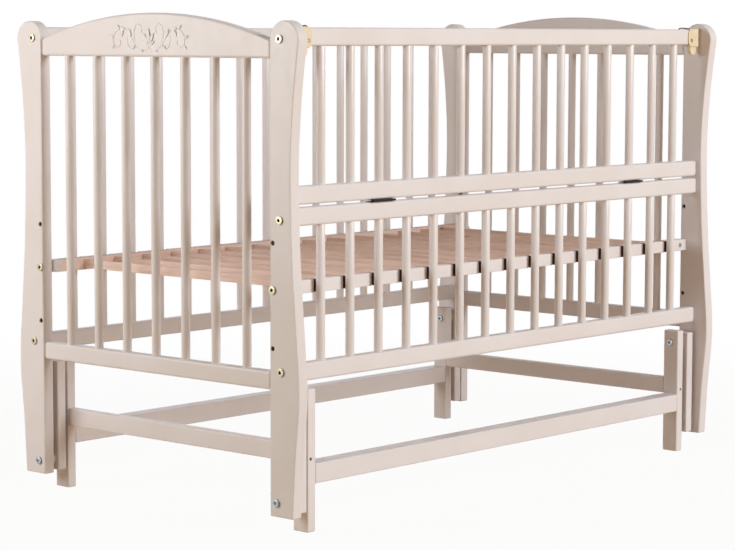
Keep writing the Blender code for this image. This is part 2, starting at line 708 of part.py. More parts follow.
def base_rail(name, side, parent):
    """A long rail of the mattress base: a groove outside and a mortise behind it for each slat."""
    reach = POST_X - FIT_GAP
    zs = (BASE_Z - BASE_RAIL_HEIGHT / 2, BASE_Z + BASE_RAIL_HEIGHT / 2)
    shape = block((-reach, reach), (side * BASE_INNER_Y, side * BASE_OUTER_Y), zs)
    made = piece(name, shape, "raw beech", (0, side * BASE_OUTER_Y, BASE_Z), parent)
    half = SLAT_THICKNESS / 2 + FIT_GAP
    groove_floor = BASE_OUTER_Y - BASE_GROOVE_DEPTH
    tall = (zs[0] - CUT_OVERRUN, zs[1] + CUT_OVERRUN)
    low = (BASE_Z - SLAT_HEIGHT / 2 - FIT_GAP, BASE_Z + SLAT_HEIGHT / 2 + FIT_GAP)
    grooves = []
    mortises = []
    for x, _ in side_spindle_places(side):
        xs = (x - half, x + half)
        grooves.append(block(xs, (side * groove_floor, side * (BASE_OUTER_Y + CUT_OVERRUN)), tall))
        mortise_end = groove_floor + CUT_OVERRUN
        mortises.append(block(xs, (side * (BASE_INNER_Y - CUT_OVERRUN), side * mortise_end), low))
    combine(made, "DIFFERENCE", grooves)
    combine(made, "DIFFERENCE", mortises)
    recess = (BASE_OUTER_Y - NUT_RECESS_DEPTH, BASE_OUTER_Y + CUT_OVERRUN)
    nut_x = reach - NUT_RECESS_INSET
    nuts = [
        turned(1, (end * nut_x, BASE_Z), [(side * recess[0], side * recess[1], NUT_RECESS_RADIUS)])
        for end in ENDS.values()
    ]
    combine(made, "DIFFERENCE", nuts)
    combine(made, "UNION", connector_bolts(*base_bolts(side)[0]))


def slats(parent):
    """Slats on edge between the two base rails, in line with the spindles."""
    reach = BASE_OUTER_Y - BASE_GROOVE_DEPTH
    zs = (BASE_Z - SLAT_HEIGHT / 2, BASE_Z + SLAT_HEIGHT / 2)
    for number, (x, _) in enumerate(side_spindle_places(SIDES["back"]), start=1):
        xs = (x - SLAT_THICKNESS / 2, x + SLAT_THICKNESS / 2)
        shape = block(xs, (-reach, reach), zs)
        piece(f"slat_{number:02d}", shape, "raw beech", (x, 0, BASE_Z), parent)


def stand():
    for side_name, side in SIDES.items():
        stand_rail(f"stand_rail_{side_name}", side)
        for end_name, end in ENDS.items():
            leg(corner_name("leg", side_name, end_name), side, end)
            upper_pivot(corner_name("pivot_upper", side_name, end_name), side, end)
    for end_name, end in ENDS.items():
        stand_cross(f"stand_cross_{end_name}", end)


def crib_body(crib):
    for side_name, side in SIDES.items():
        base_rail(f"base_rail_{side_name}", side, crib)
        for end_name, end in ENDS.items():
            post(corner_name("post", side_name, end_name), side, end, crib)
            lower_pivot(corner_name("pivot_lower", side_name, end_name), side, end, crib)
    for end_name, end in ENDS.items():
        end_top_rail(f"end_top_rail_{end_name}", end, crib)
        end_bottom_rail(f"end_bottom_rail_{end_name}", end, crib)
    fixed_side_rails(crib)
    slats(crib)


def drop_side_body(drop_side):
    drop_side_rails(drop_side)
    for end_name, end in ENDS.items():
        latch(f"latch_{end_name}", end, drop_side)
        slide = axis_empty(f"tab slide {end_name}", (end * LATCH_X, -RAIL_OUTER_Y, TOP_RAIL_Z), drop_side)
        latch_tab(f"latch_tab_{end_name}", end, slide)


def build():
    clear_scene()
    stand()
    swings = {}
    for side_name, side in SIDES.items():
        for end_name, end in ENDS.items():
            place = (end * ARM_INNER_X, side * PIVOT_Y, UPPER_PIVOT_Z)
            swing = axis_empty(corner_name("swing axis", side_name, end_name), place)
            swing_arm(corner_name("swing_arm", side_name, end_name), side, end, swing)
            swings[side_name, end_name] = swing
    front_left = (-ARM_OUTER_X, -PIVOT_Y, LOWER_PIVOT_Z)
    crib = axis_empty("crib axis", front_left, swings["front", "left"])
    crib_body(crib)
    drop_side = axis_empty("drop side axis", (0, -HINGE_Y, HINGE_Z), crib)
    drop_side_body(drop_side)
    hinges(crib, drop_side)


build()
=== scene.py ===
"""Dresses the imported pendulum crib: lacquered and raw wood, and its metal and plastic fittings."""

import math

import bmesh
import bpy
from bpy.props import FloatProperty, FloatVectorProperty, IntProperty, PointerProperty
from mathutils import Matrix, Vector


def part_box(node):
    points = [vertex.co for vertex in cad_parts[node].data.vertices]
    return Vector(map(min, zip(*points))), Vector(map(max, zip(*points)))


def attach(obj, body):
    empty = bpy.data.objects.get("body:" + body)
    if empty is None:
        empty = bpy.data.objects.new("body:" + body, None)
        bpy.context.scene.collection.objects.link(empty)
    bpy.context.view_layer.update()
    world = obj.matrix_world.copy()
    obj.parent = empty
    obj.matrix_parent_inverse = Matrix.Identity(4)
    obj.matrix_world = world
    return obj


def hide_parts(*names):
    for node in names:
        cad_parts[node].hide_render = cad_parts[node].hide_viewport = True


bl_info = {
    "name": "Pendulum crib",
    "version": (1, 0, 0),
    "blender": (4, 5, 0),
    "location": "3D View > Sidebar > Crib",
    "description": "Builds the finish and fittings of a pendulum crib on its packed frame",
    "category": "Object",
}

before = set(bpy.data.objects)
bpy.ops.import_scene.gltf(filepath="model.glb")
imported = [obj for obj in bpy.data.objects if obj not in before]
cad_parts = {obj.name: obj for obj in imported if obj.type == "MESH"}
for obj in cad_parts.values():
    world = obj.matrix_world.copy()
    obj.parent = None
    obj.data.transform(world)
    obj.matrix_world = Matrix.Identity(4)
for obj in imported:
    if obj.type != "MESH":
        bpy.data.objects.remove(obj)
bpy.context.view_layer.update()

X_AXIS, Y_AXIS, Z_AXIS = 0, 1, 2
SIDES = {"front": -1, "back": 1}
ENDS = {"left": -1, "right": 1}
CORNERS = [
    (side_name, side, end_name, end)
    for side_name, side in SIDES.items()
    for end_name, end in ENDS.items()
]
SLATS = [f"slat_{number:02d}" for number in range(1, 16)]

# Gap between pieces that meet, how far a cutter reaches past what it cuts, and how near is touching
JOINT_GAP = 0.0003
OVERRUN = 0.01
TOUCH = 1e-6

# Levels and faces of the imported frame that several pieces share
POST_LOW, POST_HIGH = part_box("post_back_right")
RAIL_LOW, RAIL_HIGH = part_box("back_top_rail")
BASE_LOW, BASE_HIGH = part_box("base_rail_back")
SLAT_LOW, SLAT_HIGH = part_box(SLATS[0])
ARCH_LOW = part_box("end_top_rail_left")[0]
SIDE_REACH = POST_LOW.x - JOINT_GAP
RAIL_HEIGHT = RAIL_HIGH.z - RAIL_LOW.z
RAIL_MIDDLE_Y = (RAIL_LOW.y + RAIL_HIGH.y) / 2
SLAT_PLACES = [(low.x + high.x) / 2 for low, high in map(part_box, SLATS)]
SLAT_PITCH = SLAT_PLACES[1] - SLAT_PLACES[0]
SLOT_HALF = (SLAT_HIGH.x - SLAT_LOW.x) / 2 + JOINT_GAP

# Connector bolts on the posts, as distance from the middle and height, and the two spare holes
RAIL_BOLTS = {"top": (0.319, 0.856), "bottom": (0.322, 0.287), "hinge": (0.319, 0.548)}
BASE_BOLT = (0.3025, 0.4275)
SPARE_HOLES = ((0.3025, 0.5085), (0.3025, 0.3265))


def linear(code):
    """The linear colour of an sRGB hex value."""
    parts = [int(code[k : k + 2], 16) / 255 for k in (1, 3, 5)]
    return tuple(c / 12.92 if c <= 0.04045 else ((c + 0.055) / 1.055) ** 2.4 for c in parts)


def size(name, description, default):
    """A length that a user can change."""
    return FloatProperty(
        name=name, description=description, default=default, min=0.0, unit="LENGTH", precision=4
    )


def colour(name, description, code):
    """A colour that a user can change."""
    return FloatVectorProperty(
        name=name, description=description, default=linear(code), subtype="COLOR", size=3, min=0.0, max=1.0
    )


class CribSizes(bpy.types.PropertyGroup):
    board_round: size("Board rounding", "Radius along the edges of posts, stand and arms", 0.0026)
    rail_round: size("Rail rounding", "Radius along the edges of the rails between the posts", 0.0048)
    slat_round: size("Slat rounding", "Radius along the edges of slats and base rails", 0.0012)
    spindle_radius: size("Spindle radius", "Radius of the round spindles", 0.008)
    spindle_pitch: size("End spindle pitch", "Distance between the spindles of an end", 0.0765)
    end_rail_height: size("End rail height", "Height of an end's bottom rail", 0.033)
    arch_rise: size("Arch rise", "Rise of the end rails' arch over their ends", 0.047)
    arch_corner: size("Arch corner", "Radius of the arched rail's outer corners", 0.0055)
    belly_width: size("Post width", "Widest width of a post", 0.069)
    head_radius: size("Post head radius", "Radius of a post's domed head", 0.034)
    hole_radius: size("Bolt hole radius", "Radius of the bolt holes through the posts", 0.0043)
    connector_radius: size("Connector head radius", "Radius of a connector bolt's flat head", 0.0075)
    connector_height: size("Connector head height", "Height of a connector bolt's flat head", 0.0028)
    spacer_radius: size("Spacer radius", "Radius of the rings between legs, arms and posts", 0.012)
    knuckle_radius: size("Hinge knuckle radius", "Radius of a hinge's rolled knuckles", 0.0019)
    hinge_leaf: size("Hinge leaf", "Thickness of a hinge's leaves", 0.0012)
    carving_line: size("Carving line", "Radius of the carved scrolls at their widest", 0.0017)
    carving_lift: size("Carving lift", "How far a carved leaf stands out", 0.0021)
    latch_wall: size("Latch wall", "Thickness of the walls beside a latch's tongue", 0.0035)
    wire_radius: size("Wire radius", "Radius of the latch's spring wire", 0.0012)
    round_sides: IntProperty(
        name="Round sides", description="Sides of round pieces", default=24, min=12, max=64
    )


class CribColours(bpy.types.PropertyGroup):
    lacquer: colour("Lacquer", "Cream lacquer", "#EFE8EB")
    lacquer_warm: colour("Lacquer, warm", "Cream lacquer where it is thicker", "#ECE3E4")
    wood: colour("Wood", "Raw wood between its streaks", "#FBDFD6")
    wood_dark: colour("Wood, dark", "Streaks and rings of the raw wood", "#DDB8AC")
    knot: colour("Knot", "Knots of the raw wood", "#7E5140")
    # Painted shade: a dark brown laid on the slats' ends and the walls of the base rails' slots, where shade
    # falls deep in the slots
    painted_slot_shade: colour("End grain", "Sawn ends in the base rails' slots", "#6B5036")
    zinc: colour("Zinc", "Zinc plating on pivot bolts and barrel nuts", "#B2B8BD")
    brass: colour("Brass", "Pale brass plating on connector bolts and latch screws", "#CBC0A2")
    # Also used for painted shade: the plugs in the connector bolts' sockets
    bronze: colour("Bronze", "Dark bronzed steel of hinges, inserts, wires and leg screws", "#332B26")
    ivory: colour("Ivory plastic", "Moulded plastic of the latches", "#F4E0C2")
    spacer: colour("Spacer", "Nylon rings between legs, arms and posts", "#E6DACB")
    floor: colour("Floor", "Studio floor", "#C8AA7C")


def sizes():
    return bpy.context.scene.crib_sizes


def tint(name, share=1.0):
    """A colour of the crib, or a darker share of it, as a socket takes it."""
    return (*(part * share for part in getattr(bpy.context.scene.crib_colours, name)), 1.0)


# Materials

# Settings of nodes. A Map Range node's sockets 0 to 4 are its value, the range that it comes from and the
# range that it goes to, 0 to 1 unless given. A Mix node's colours are sockets 6 and 7, its colour output 2.
SMOOTH = {"interpolation_type": "SMOOTHSTEP"}
COLOURS = {"data_type": "RGBA"}
VECTORS = {"data_type": "VECTOR"}

# The range that holds most values of a cloudy noise, and how rough that noise is
NOISE_LOW, NOISE_HIGH = 0.3, 0.7
NOISE_ROUGHNESS = 0.55

# Where the spray on a base rail fades, in from its outer face and from the posts, and how far that wanders
SPRAY_FADE = (0.0085, 0.0055)
SPRAY_END_FADE = (0.016, 0.013)
SPRAY_WANDER = 0.0015

# Between these distances from a slot's wall or a slat's end the painted slot shade fades
SLOT_SHADE_NEAR, SLOT_SHADE_FAR = 0.0002, 0.0006


def node(tree, kind, links=None, out=0, **settings):
    """Adds a node and returns one of its outputs. Links give sockets a value or another node's output."""
    made = tree.nodes.new(kind)
    for name, value in settings.items():
        setattr(made, name, value)
    for socket, value in (links or {}).items():
        if isinstance(value, bpy.types.NodeSocket):
            tree.links.new(value, made.inputs[socket])
        else:
            made.inputs[socket].default_value = value
    return made.outputs[out]


def spread(tree, width, axis=X_AXIS, length=None):
    """Object coordinates for a pattern this many millimetres wide, and this long along the grain's axis."""
    scale = [1000 / width] * 3
    scale[axis] = 1000 / (length or width)
    place = node(tree, "ShaderNodeTexCoord", out="Object")
    return node(tree, "ShaderNodeMapping", {"Vector": place, "Scale": scale})


def clouds(tree, width, axis=X_AXIS, length=None, detail=3.0, distortion=0.0):
    """Noise with clouds of a width in millimetres, drawn out along the grain's axis if a length is given."""
    links = {
        "Vector": spread(tree, width, axis, length), "Scale": 1.0, "Detail": detail,
        "Roughness": NOISE_ROUGHNESS, "Distortion": distortion,
    }
    return node(tree, "ShaderNodeTexNoise", links)


def new_material(name, **values):
    """A Principled material and its node tree, with plain values on the shader's sockets."""
    material = bpy.data.materials.new(name)
    material.use_nodes = True
    for socket, value in values.items():
        shader = material.node_tree.nodes["Principled BSDF"]
        shader.inputs[socket.replace("_", " ")].default_value = value
    return material, material.node_tree


def use_look(material, look):
    """Links a look's colour, roughness and bump to a material's shader, and returns the material."""
    shader = material.node_tree.nodes["Principled BSDF"]
    for socket, output in zip(("Base Color", "Roughness", "Normal"), look):
        material.node_tree.links.new(output, shader.inputs[socket])
    return material


def lacquer_look(tree, axis):
    """Colour, roughness and bump of satin lacquer sprayed on beech whose grain runs along an axis."""
    thick = node(
        tree, "ShaderNodeMapRange", {0: clouds(tree, 142.86, detail=2.0), 1: 0.35, 2: NOISE_HIGH}, **SMOOTH
    )
    shade = node(tree, "ShaderNodeMix", {0: thick, 6: tint("lacquer"), 7: tint("lacquer_warm")}, 2, **COLOURS)
    patches = {0: clouds(tree, 18.182), 1: NOISE_LOW, 2: NOISE_HIGH, 3: 0.28, 4: 0.38}
    roughness = node(tree, "ShaderNodeMapRange", patches, **SMOOTH)
    grain = clouds(tree, 2.3810, axis, 59.524)
    peel = clouds(tree, 1.5385, detail=1.0)
    height = node(tree, "ShaderNodeMath", {0: grain, 1: peel}, operation="ADD")
    bump = node(tree, "ShaderNodeBump", {"Strength": 0.16, "Distance": 0.0004, "Height": height})
    return shade, roughness, bump


def wood_look(tree, axis):
    """Colour, roughness and bump of sawn and planed wood whose grain runs along an axis."""
    streaks = {0: clouds(tree, 10.526, axis, 233.92, 4.0, 0.6), 1: 0.42, 2: 0.72}
    streak_share = node(tree, "ShaderNodeMapRange", streaks, **SMOOTH)
    broad = {0: clouds(tree, 71.429, axis, 357.14, 2.0), 1: NOISE_LOW, 2: 0.75, 3: 0.35, 4: 1.0}
    broad_share = node(tree, "ShaderNodeMapRange", broad, **SMOOTH)
    share = node(tree, "ShaderNodeMath", {0: streak_share, 1: broad_share}, operation="MULTIPLY")
    shade = node(tree, "ShaderNodeMix", {0: share, 6: tint("wood"), 7: tint("wood_dark")}, 2, **COLOURS)
    cells = node(tree, "ShaderNodeTexVoronoi", {"Vector": spread(tree, 90.909, axis, 181.82), "Scale": 1.0})
    knots = node(tree, "ShaderNodeMapRange", {0: cells, 1: 0.045, 2: 0.11, 3: 0.85, 4: 0.0}, **SMOOTH)
    shade = node(tree, "ShaderNodeMix", {0: knots, 6: shade, 7: tint("knot")}, 2, **COLOURS)
    fine = clouds(tree, 1.9231, axis, 42.735, 2.0)
    sheen = {0: fine, 1: NOISE_LOW, 2: NOISE_HIGH, 3: 0.52, 4: 0.68}
    roughness = node(tree, "ShaderNodeMapRange", sheen, **SMOOTH)
    bump = node(tree, "ShaderNodeBump", {"Strength": 0.3, "Distance": 0.0005, "Height": fine})
    return shade, roughness, bump


def hard_look(tree, colour_name, dark_share, patch, grain, sheen, strength):
    """Colour, roughness and bump of a hard, even surface. Patch is the width and upper limit of its darker
    patches, grain the width of its fine grain, sheen its lowest and highest roughness."""
    patches = {0: clouds(tree, patch[0]), 1: NOISE_LOW, 2: patch[1]}
    share = node(tree, "ShaderNodeMapRange", patches, **SMOOTH)
    tints = {0: share, 6: tint(colour_name), 7: tint(colour_name, dark_share)}
    shade = node(tree, "ShaderNodeMix", tints, 2, **COLOURS)
    fine = clouds(tree, grain, detail=2.0)
    links = {0: fine, 1: NOISE_LOW, 2: NOISE_HIGH, 3: sheen[0], 4: sheen[1]}
    roughness = node(tree, "ShaderNodeMapRange", links, **SMOOTH)
    bump = node(tree, "ShaderNodeBump", {"Strength": strength, "Distance": 0.0002, "Height": fine})
    return shade, roughness, bump


def lacquered_beech(axis):
    # Beech sprayed with satin pigmented lacquer: an even cream with a soft sheen. The spray leaves a very
    # fine orange peel, and the grain shows only as faint ripples, drawn 2 to 3 mm wide so that they show.
    material, tree = new_material(f"satin lacquered beech {'xyz'[axis]}", IOR=1.5)
    return use_look(material, lacquer_look(tree, axis))


def planed_beech():
    # A slat of beech, planed and left raw: matt and pinkish, with darker streaks about 10 mm wide and a
    # knot here and there. Its ends in the base rails' slots are sawn across the grain; painted shade
    # darkens them where they sit in the slots.
    material, tree = new_material("raw planed beech y", IOR=1.45)
    shade, roughness, bump = wood_look(tree, Y_AXIS)
    # Painted shade: the slats' ends in the slots are darkened as if shade fell there
    depth = node(tree, "ShaderNodeSeparateXYZ", {0: node(tree, "ShaderNodeTexCoord", out="Object")}, 1)
    outward = node(tree, "ShaderNodeMath", {0: depth}, operation="ABSOLUTE")
    end = {0: outward, 1: SLAT_HIGH.y - SLOT_SHADE_FAR, 2: SLAT_HIGH.y - SLOT_SHADE_NEAR}
    painted_end_shade = node(tree, "ShaderNodeMapRange", end, **SMOOTH)
    shade = node(tree, "ShaderNodeMix", {0: painted_end_shade, 6: shade, 7: tint("painted_slot_shade")}, 2, **COLOURS)
    return use_look(material, (shade, roughness, bump))


def spray_share(tree, length, outward):
    """How much spray a base rail has: all of it on the outer face and at both ends, none inside."""
    wander = {0: clouds(tree, 6.25), 1: 0.2, 2: 0.8, 3: -SPRAY_WANDER, 4: SPRAY_WANDER}
    ragged = node(tree, "ShaderNodeMapRange", wander, **SMOOTH)
    edge = node(tree, "ShaderNodeMath", {0: outward, 1: ragged}, operation="ADD")
    face = {0: edge, 1: BASE_HIGH.y - SPRAY_FADE[0], 2: BASE_HIGH.y - SPRAY_FADE[1]}
    outside = node(tree, "ShaderNodeMapRange", face, **SMOOTH)
    reach = node(tree, "ShaderNodeMath", {0: length}, operation="ABSOLUTE")
    near_post = {0: reach, 1: POST_LOW.x - SPRAY_END_FADE[0], 2: POST_LOW.x - SPRAY_END_FADE[1]}
    ends = node(tree, "ShaderNodeMapRange", near_post, **SMOOTH)
    return node(tree, "ShaderNodeMath", {0: outside, 1: ends}, operation="MAXIMUM")


def slot_shade_mask(tree, length, outward):
    """Share of painted shade: one inside the slots for the slats, past the slats' ends, and 0 everywhere
    else.
    """
    wrap = {0: length, 1: SLAT_PITCH / 2, 2: -SLAT_PITCH / 2}
    in_pitch = node(tree, "ShaderNodeMath", wrap, operation="WRAP")
    from_slat = node(tree, "ShaderNodeMath", {0: in_pitch}, operation="ABSOLUTE")
    limits = (
        {0: from_slat, 1: SLOT_HALF + SLOT_SHADE_NEAR, 2: SLOT_HALF + SLOT_SHADE_FAR, 3: 1.0, 4: 0.0},
        {0: outward, 1: BASE_HIGH.y - 2 * SLOT_SHADE_FAR, 2: BASE_HIGH.y - 2 * SLOT_SHADE_NEAR, 3: 1.0, 4: 0.0},
        {0: outward, 1: SLAT_HIGH.y, 2: SLAT_HIGH.y + SLOT_SHADE_FAR - SLOT_SHADE_NEAR},
    )
    beside, inside, past_slat = (node(tree, "ShaderNodeMapRange", limit, **SMOOTH) for limit in limits)
    slot = node(tree, "ShaderNodeMath", {0: beside, 1: inside}, operation="MULTIPLY")
    return node(tree, "ShaderNodeMath", {0: slot, 1: past_slat}, operation="MULTIPLY")


def half_sprayed_beech():
    # A base rail sprayed from outside only: cream on the outer face, over the arrises and round both
    # ends, fading to raw wood within a few millimetres on top and underneath. The walls of its slots
    # are darkened with painted shade, for the shade that falls in the slots.
    material, tree = new_material("beech sprayed on one side", IOR=1.48)
    place = node(tree, "ShaderNodeTexCoord", out="Object")
    length = node(tree, "ShaderNodeSeparateXYZ", {0: place}, 0)
    depth = node(tree, "ShaderNodeSeparateXYZ", {0: place}, 1)
    outward = node(tree, "ShaderNodeMath", {0: depth}, operation="ABSOLUTE")
    share = spray_share(tree, length, outward)
    slot = slot_shade_mask(tree, length, outward)
    wood, wood_roughness, wood_bump = wood_look(tree, X_AXIS)
    paint, paint_roughness, paint_bump = lacquer_look(tree, X_AXIS)
    shade = node(tree, "ShaderNodeMix", {0: share, 6: wood, 7: paint}, 2, **COLOURS)
    # Painted shade: the slots' walls are darkened where shade falls in them
    shade = node(tree, "ShaderNodeMix", {0: slot, 6: shade, 7: tint("painted_slot_shade")}, 2, **COLOURS)
    roughness = node(tree, "ShaderNodeMix", {0: share, 2: wood_roughness, 3: paint_roughness})
    bump = node(tree, "ShaderNodeMix", {0: share, 4: wood_bump, 5: paint_bump}, 1, **VECTORS)
    return use_look(material, (shade, roughness, bump))


def metal(name, colour_name, sheen):
    """A metal with small darker patches and a finely uneven sheen."""
    material, tree = new_material(name, Metallic=1.0)
    return use_look(material, hard_look(tree, colour_name, 0.82, (2.6316, 0.75), 0.71429, sheen, 0.1))


def zinc_plated_steel():
    # Cold headed steel with bright zinc plating: a cool, clear shine with small cloudy patches.
    return metal("bright zinc plated steel", "zinc", (0.2, 0.34))


def brass_plated_steel():
    # Cold headed steel with thin brass plating, polished in a drum: pale, with a soft shine.
    return metal("pale brass plated steel", "brass", (0.24, 0.4))


def bronzed_steel():
    # Pressed steel, chemically bronzed: nearly black, with brown glints on its rolled knuckles.
    return metal("bronzed pressed steel", "bronze", (0.38, 0.52))


def moulded_plastic(name, colour_name):
    # Injection moulded nylon: one colour all through, with a faint eroded grain from its mould, drawn
    # 1 mm wide so that it shows, and a slightly waxy shine.
    material, tree = new_material(name, IOR=1.53, Subsurface_Weight=0.05, Subsurface_Scale=0.002)
    look = hard_look(tree, colour_name, 0.94, (16.667, NOISE_HIGH), 1.1111, (0.36, 0.48), 0.12)
    return use_look(material, look)


# Each look's slot in the record and the function that makes its material
FINISHES = {
    "lacquer x": ("cream_lacquer", lambda: lacquered_beech(X_AXIS)),
    "lacquer y": ("cream_lacquer", lambda: lacquered_beech(Y_AXIS)),
    "lacquer z": ("cream_lacquer", lambda: lacquered_beech(Z_AXIS)),
    "raw y": ("raw_beech", planed_beech),
    "half sprayed": ("raw_beech", half_sprayed_beech),
    "zinc": ("zinc", zinc_plated_steel),
    "brass": ("zinc", brass_plated_steel),
    "bronze": ("dark_bronze", bronzed_steel),
    "ivory": ("ivory_plastic", lambda: moulded_plastic("moulded ivory nylon", "ivory")),
    "spacer": ("ivory_plastic", lambda: moulded_plastic("moulded cream nylon", "spacer")),
}


def finish(look):
    """A look's slot and its material, which is made when it is first used."""
    slot, maker = FINISHES[look]
    for material in bpy.data.materials:
        if material.get("crib_finish") == look:
            return slot, material
    material = maker()
    material["crib_finish"] = look
    return slot, material


# Shapes

# An edge sharper than this gets a slab's rounding, and one sharper than the other a cut rim's
SLAB_ANGLE = math.radians(50)
RIM_ANGLE = math.radians(48)

# Rounding of a cut's rims where a piece has none of its own
RIM = 0.0004


def mirrored(ys, side):
    return tuple(side * y for y in ys)


def spot(axis, along, place):
    """A point from its coordinate along one axis and its other two."""
    point = list(place)
    point.insert(axis, along)
    return Vector(point)


def box_between(bm, corner, opposite):
    """Adds a box between two opposite corners and returns its vertices."""
    spans = list(zip(corner, opposite))
    low = Vector([min(span) for span in spans])
    high = Vector([max(span) for span in spans])
    place = Matrix.Translation((low + high) / 2) @ Matrix.Diagonal((*(high - low), 1))
    return bmesh.ops.create_cube(bm, size=1, matrix=place)["verts"]


def edges_of(verts):
    """The edges at some vertices, each once and always in the same order."""
    return list(dict.fromkeys(edge for vert in verts for edge in vert.link_edges))


def round_off(bm, edges, radius, segments=3):
    bmesh.ops.bevel(
        bm, geom=edges, offset=radius, offset_type="OFFSET", affect="EDGES", segments=segments,
        profile=0.5, material=-1,
    )


def board(bm, xs, ys, zs, radius):
    """A board with all its edges rounded. Each range may be given in either order."""
    verts = box_between(bm, *zip(xs, ys, zs))
    round_off(bm, edges_of(verts), radius)


def turn_to(axis):
    """Rotation that takes Z to an axis."""
    return Vector((0, 0, 1)).rotation_difference(Vector(axis)).to_matrix().to_4x4()


def rod(bm, axis, start, end, place, radius, edge=0.0, sides=None):
    """A round bar along an axis, at a place on the other two, with its rims rounded if asked."""
    first, last = spot(axis, start, place), spot(axis, end, place)
    middle = Matrix.Translation((first + last) / 2) @ turn_to((last - first).normalized())
    made = bmesh.ops.create_cone(
        bm, cap_ends=True, segments=sides or sizes().round_sides, radius1=radius, radius2=radius,
        depth=(last - first).length, matrix=middle,
    )
    if edge:
        around = edges_of(made["verts"])
        rims = [e for e in around if any(len(face.verts) != 4 for face in e.link_faces)]
        round_off(bm, rims, edge, 2)


def slab(bm, outline, axis, start, end, radius):
    """A flat outline pushed along an axis, with its edges rounded."""
    verts = [bm.verts.new(spot(axis, start, point)) for point in outline]
    face = bm.faces.new(verts)
    pushed = bmesh.ops.extrude_face_region(bm, geom=[face])["geom"]
    moved = [item for item in pushed if isinstance(item, bmesh.types.BMVert)]
    bmesh.ops.translate(bm, verts=moved, vec=spot(axis, end - start, (0, 0)))
    bmesh.ops.recalc_face_normals(bm, faces=bm.faces)
    sharp = [edge for edge in edges_of([*verts, *moved]) if edge.calc_face_angle(0) > SLAB_ANGLE]
    round_off(bm, sharp, radius)


def arc(centre, radius, start, end, steps):
    """Points of an arc between two angles in degrees."""
    angles = [math.radians(start + (end - start) * k / steps) for k in range(steps + 1)]
    return [(centre[0] + radius * math.cos(a), centre[1] + radius * math.sin(a)) for a in angles]


def smooth_line(points, steps):
    """Points of a smooth curve through the given ones."""
    ends = [points[0], *points, points[-1]]
    curve = []
    for before, start, end, after in zip(ends, ends[1:], ends[2:], ends[3:]):
        for k in range(steps):
            t = k / steps
            place = []
            for a, b, c, d in zip(before, start, end, after):
                bend = (2 * a - 5 * b + 4 * c - d) * t**2 + (3 * b - a - 3 * c + d) * t**3
                place.append(b + ((c - a) * t + bend) / 2)
            curve.append(tuple(place))
    curve.append(points[-1])
    return curve


def wire(bm, points, radii):
    """A round wire or tapering stroke through points, joined to the bmesh."""
    data = bpy.data.curves.new("stroke", "CURVE")
    data.dimensions = "3D"
    data.bevel_depth = 1.0
    data.bevel_resolution = 2
    data.resolution_u = 5
    data.use_fill_caps = True
    spline = data.splines.new("BEZIER")
    spline.bezier_points.add(len(points) - 1)
    for bend, point, radius in zip(spline.bezier_points, points, radii):
        bend.co = point
        bend.radius = radius
        bend.handle_left_type = "AUTO"
        bend.handle_right_type = "AUTO"
    stroke = bpy.data.objects.new("stroke", data)
    bpy.context.scene.collection.objects.link(stroke)
    depsgraph = bpy.context.evaluated_depsgraph_get()
    mesh = bpy.data.meshes.new_from_object(stroke.evaluated_get(depsgraph))
    bm.from_mesh(mesh)
    bpy.data.objects.remove(stroke)
    bpy.data.curves.remove(data)
    bpy.data.meshes.remove(mesh)


def object_from(name, bm):
    bmesh.ops.recalc_face_normals(bm, faces=bm.faces)
    mesh = bpy.data.meshes.new(name)
    bm.to_mesh(mesh)
    bm.free()
    mesh.shade_smooth()
    made = bpy.data.objects.new(name, mesh)
    bpy.context.scene.collection.objects.link(made)
    return made


def add_piece(name, bm, look, body, nodes=(), cutter=None, rim=RIM):
    """Makes a finished piece from a bmesh, less what a second one cuts away, and ties it to the frame."""
    piece = object_from(name, bm)
    tool = None
    if cutter:
        tool = object_from(f"{name}_cutter", cutter)
        cut = piece.modifiers.new("Cut", "BOOLEAN")
        cut.operation = "DIFFERENCE"
        cut.solver = "EXACT"
        cut.use_self = True
        cut.object = tool
        edge = piece.modifiers.new("Rim", "BEVEL")
        edge.width = rim
        edge.segments = 2
        edge.limit_method = "ANGLE"
        edge.angle_limit = RIM_ANGLE
    evened = piece.modifiers.new("Even", "WEIGHTED_NORMAL")
    evened.keep_sharp = True
    depsgraph = bpy.context.evaluated_depsgraph_get()
    finished = bpy.data.meshes.new_from_object(piece.evaluated_get(depsgraph))
    piece.modifiers.clear()
    piece.data = finished
    if tool:
        bpy.data.objects.remove(tool)
    slot, material = finish(look)
    finished.materials.clear()
    finished.materials.append(material)
    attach(piece, body)
    if nodes:
        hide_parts(*nodes)
    return piece


def add_wood(node_name, bm, look, body, cutter=None, rim=RIM):
    """Adds the wooden piece that stands for a node."""
    add_piece(f"{node_name}_wood", bm, look, body, [node_name], cutter, rim)


def add_board(node_name, look, body, radius, cutter=None):
    """Adds a wooden board that fills its node's box."""
    bm = bmesh.new()
    board(bm, *zip(*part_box(node_name)), radius)
    add_wood(node_name, bm, look, body, cutter)


# Posts

# A post's wavy edge, as shares of its head's level and of its widest width
POST_EDGE_SHARES = (
    (0.000, 0.783),
    (0.128, 0.870),
    (0.261, 1.000),
    (0.401, 0.893),
    (0.547, 0.764),
    (0.729, 0.703),
    (0.851, 0.775),
    (0.930, 0.873),
)
POST_WAVE_STEPS = 6
POST_DOME_STEPS = 20


def post_outline(side):
    """A post seen from its end: straight inner edge, domed head, wavy outer edge."""
    radius = sizes().head_radius
    level = POST_HIGH.z - POST_LOW.z - radius
    wave = [(sizes().belly_width * width, level * height) for height, width in POST_EDGE_SHARES]
    wave.append((2 * radius, level))
    outline = [(0, 0), *smooth_line(wave, POST_WAVE_STEPS)]
    outline += arc((radius, level), radius, 0, 180, POST_DOME_STEPS)[1:]
    return [(side * (POST_LOW.y + out), POST_LOW.z + up) for out, up in outline]


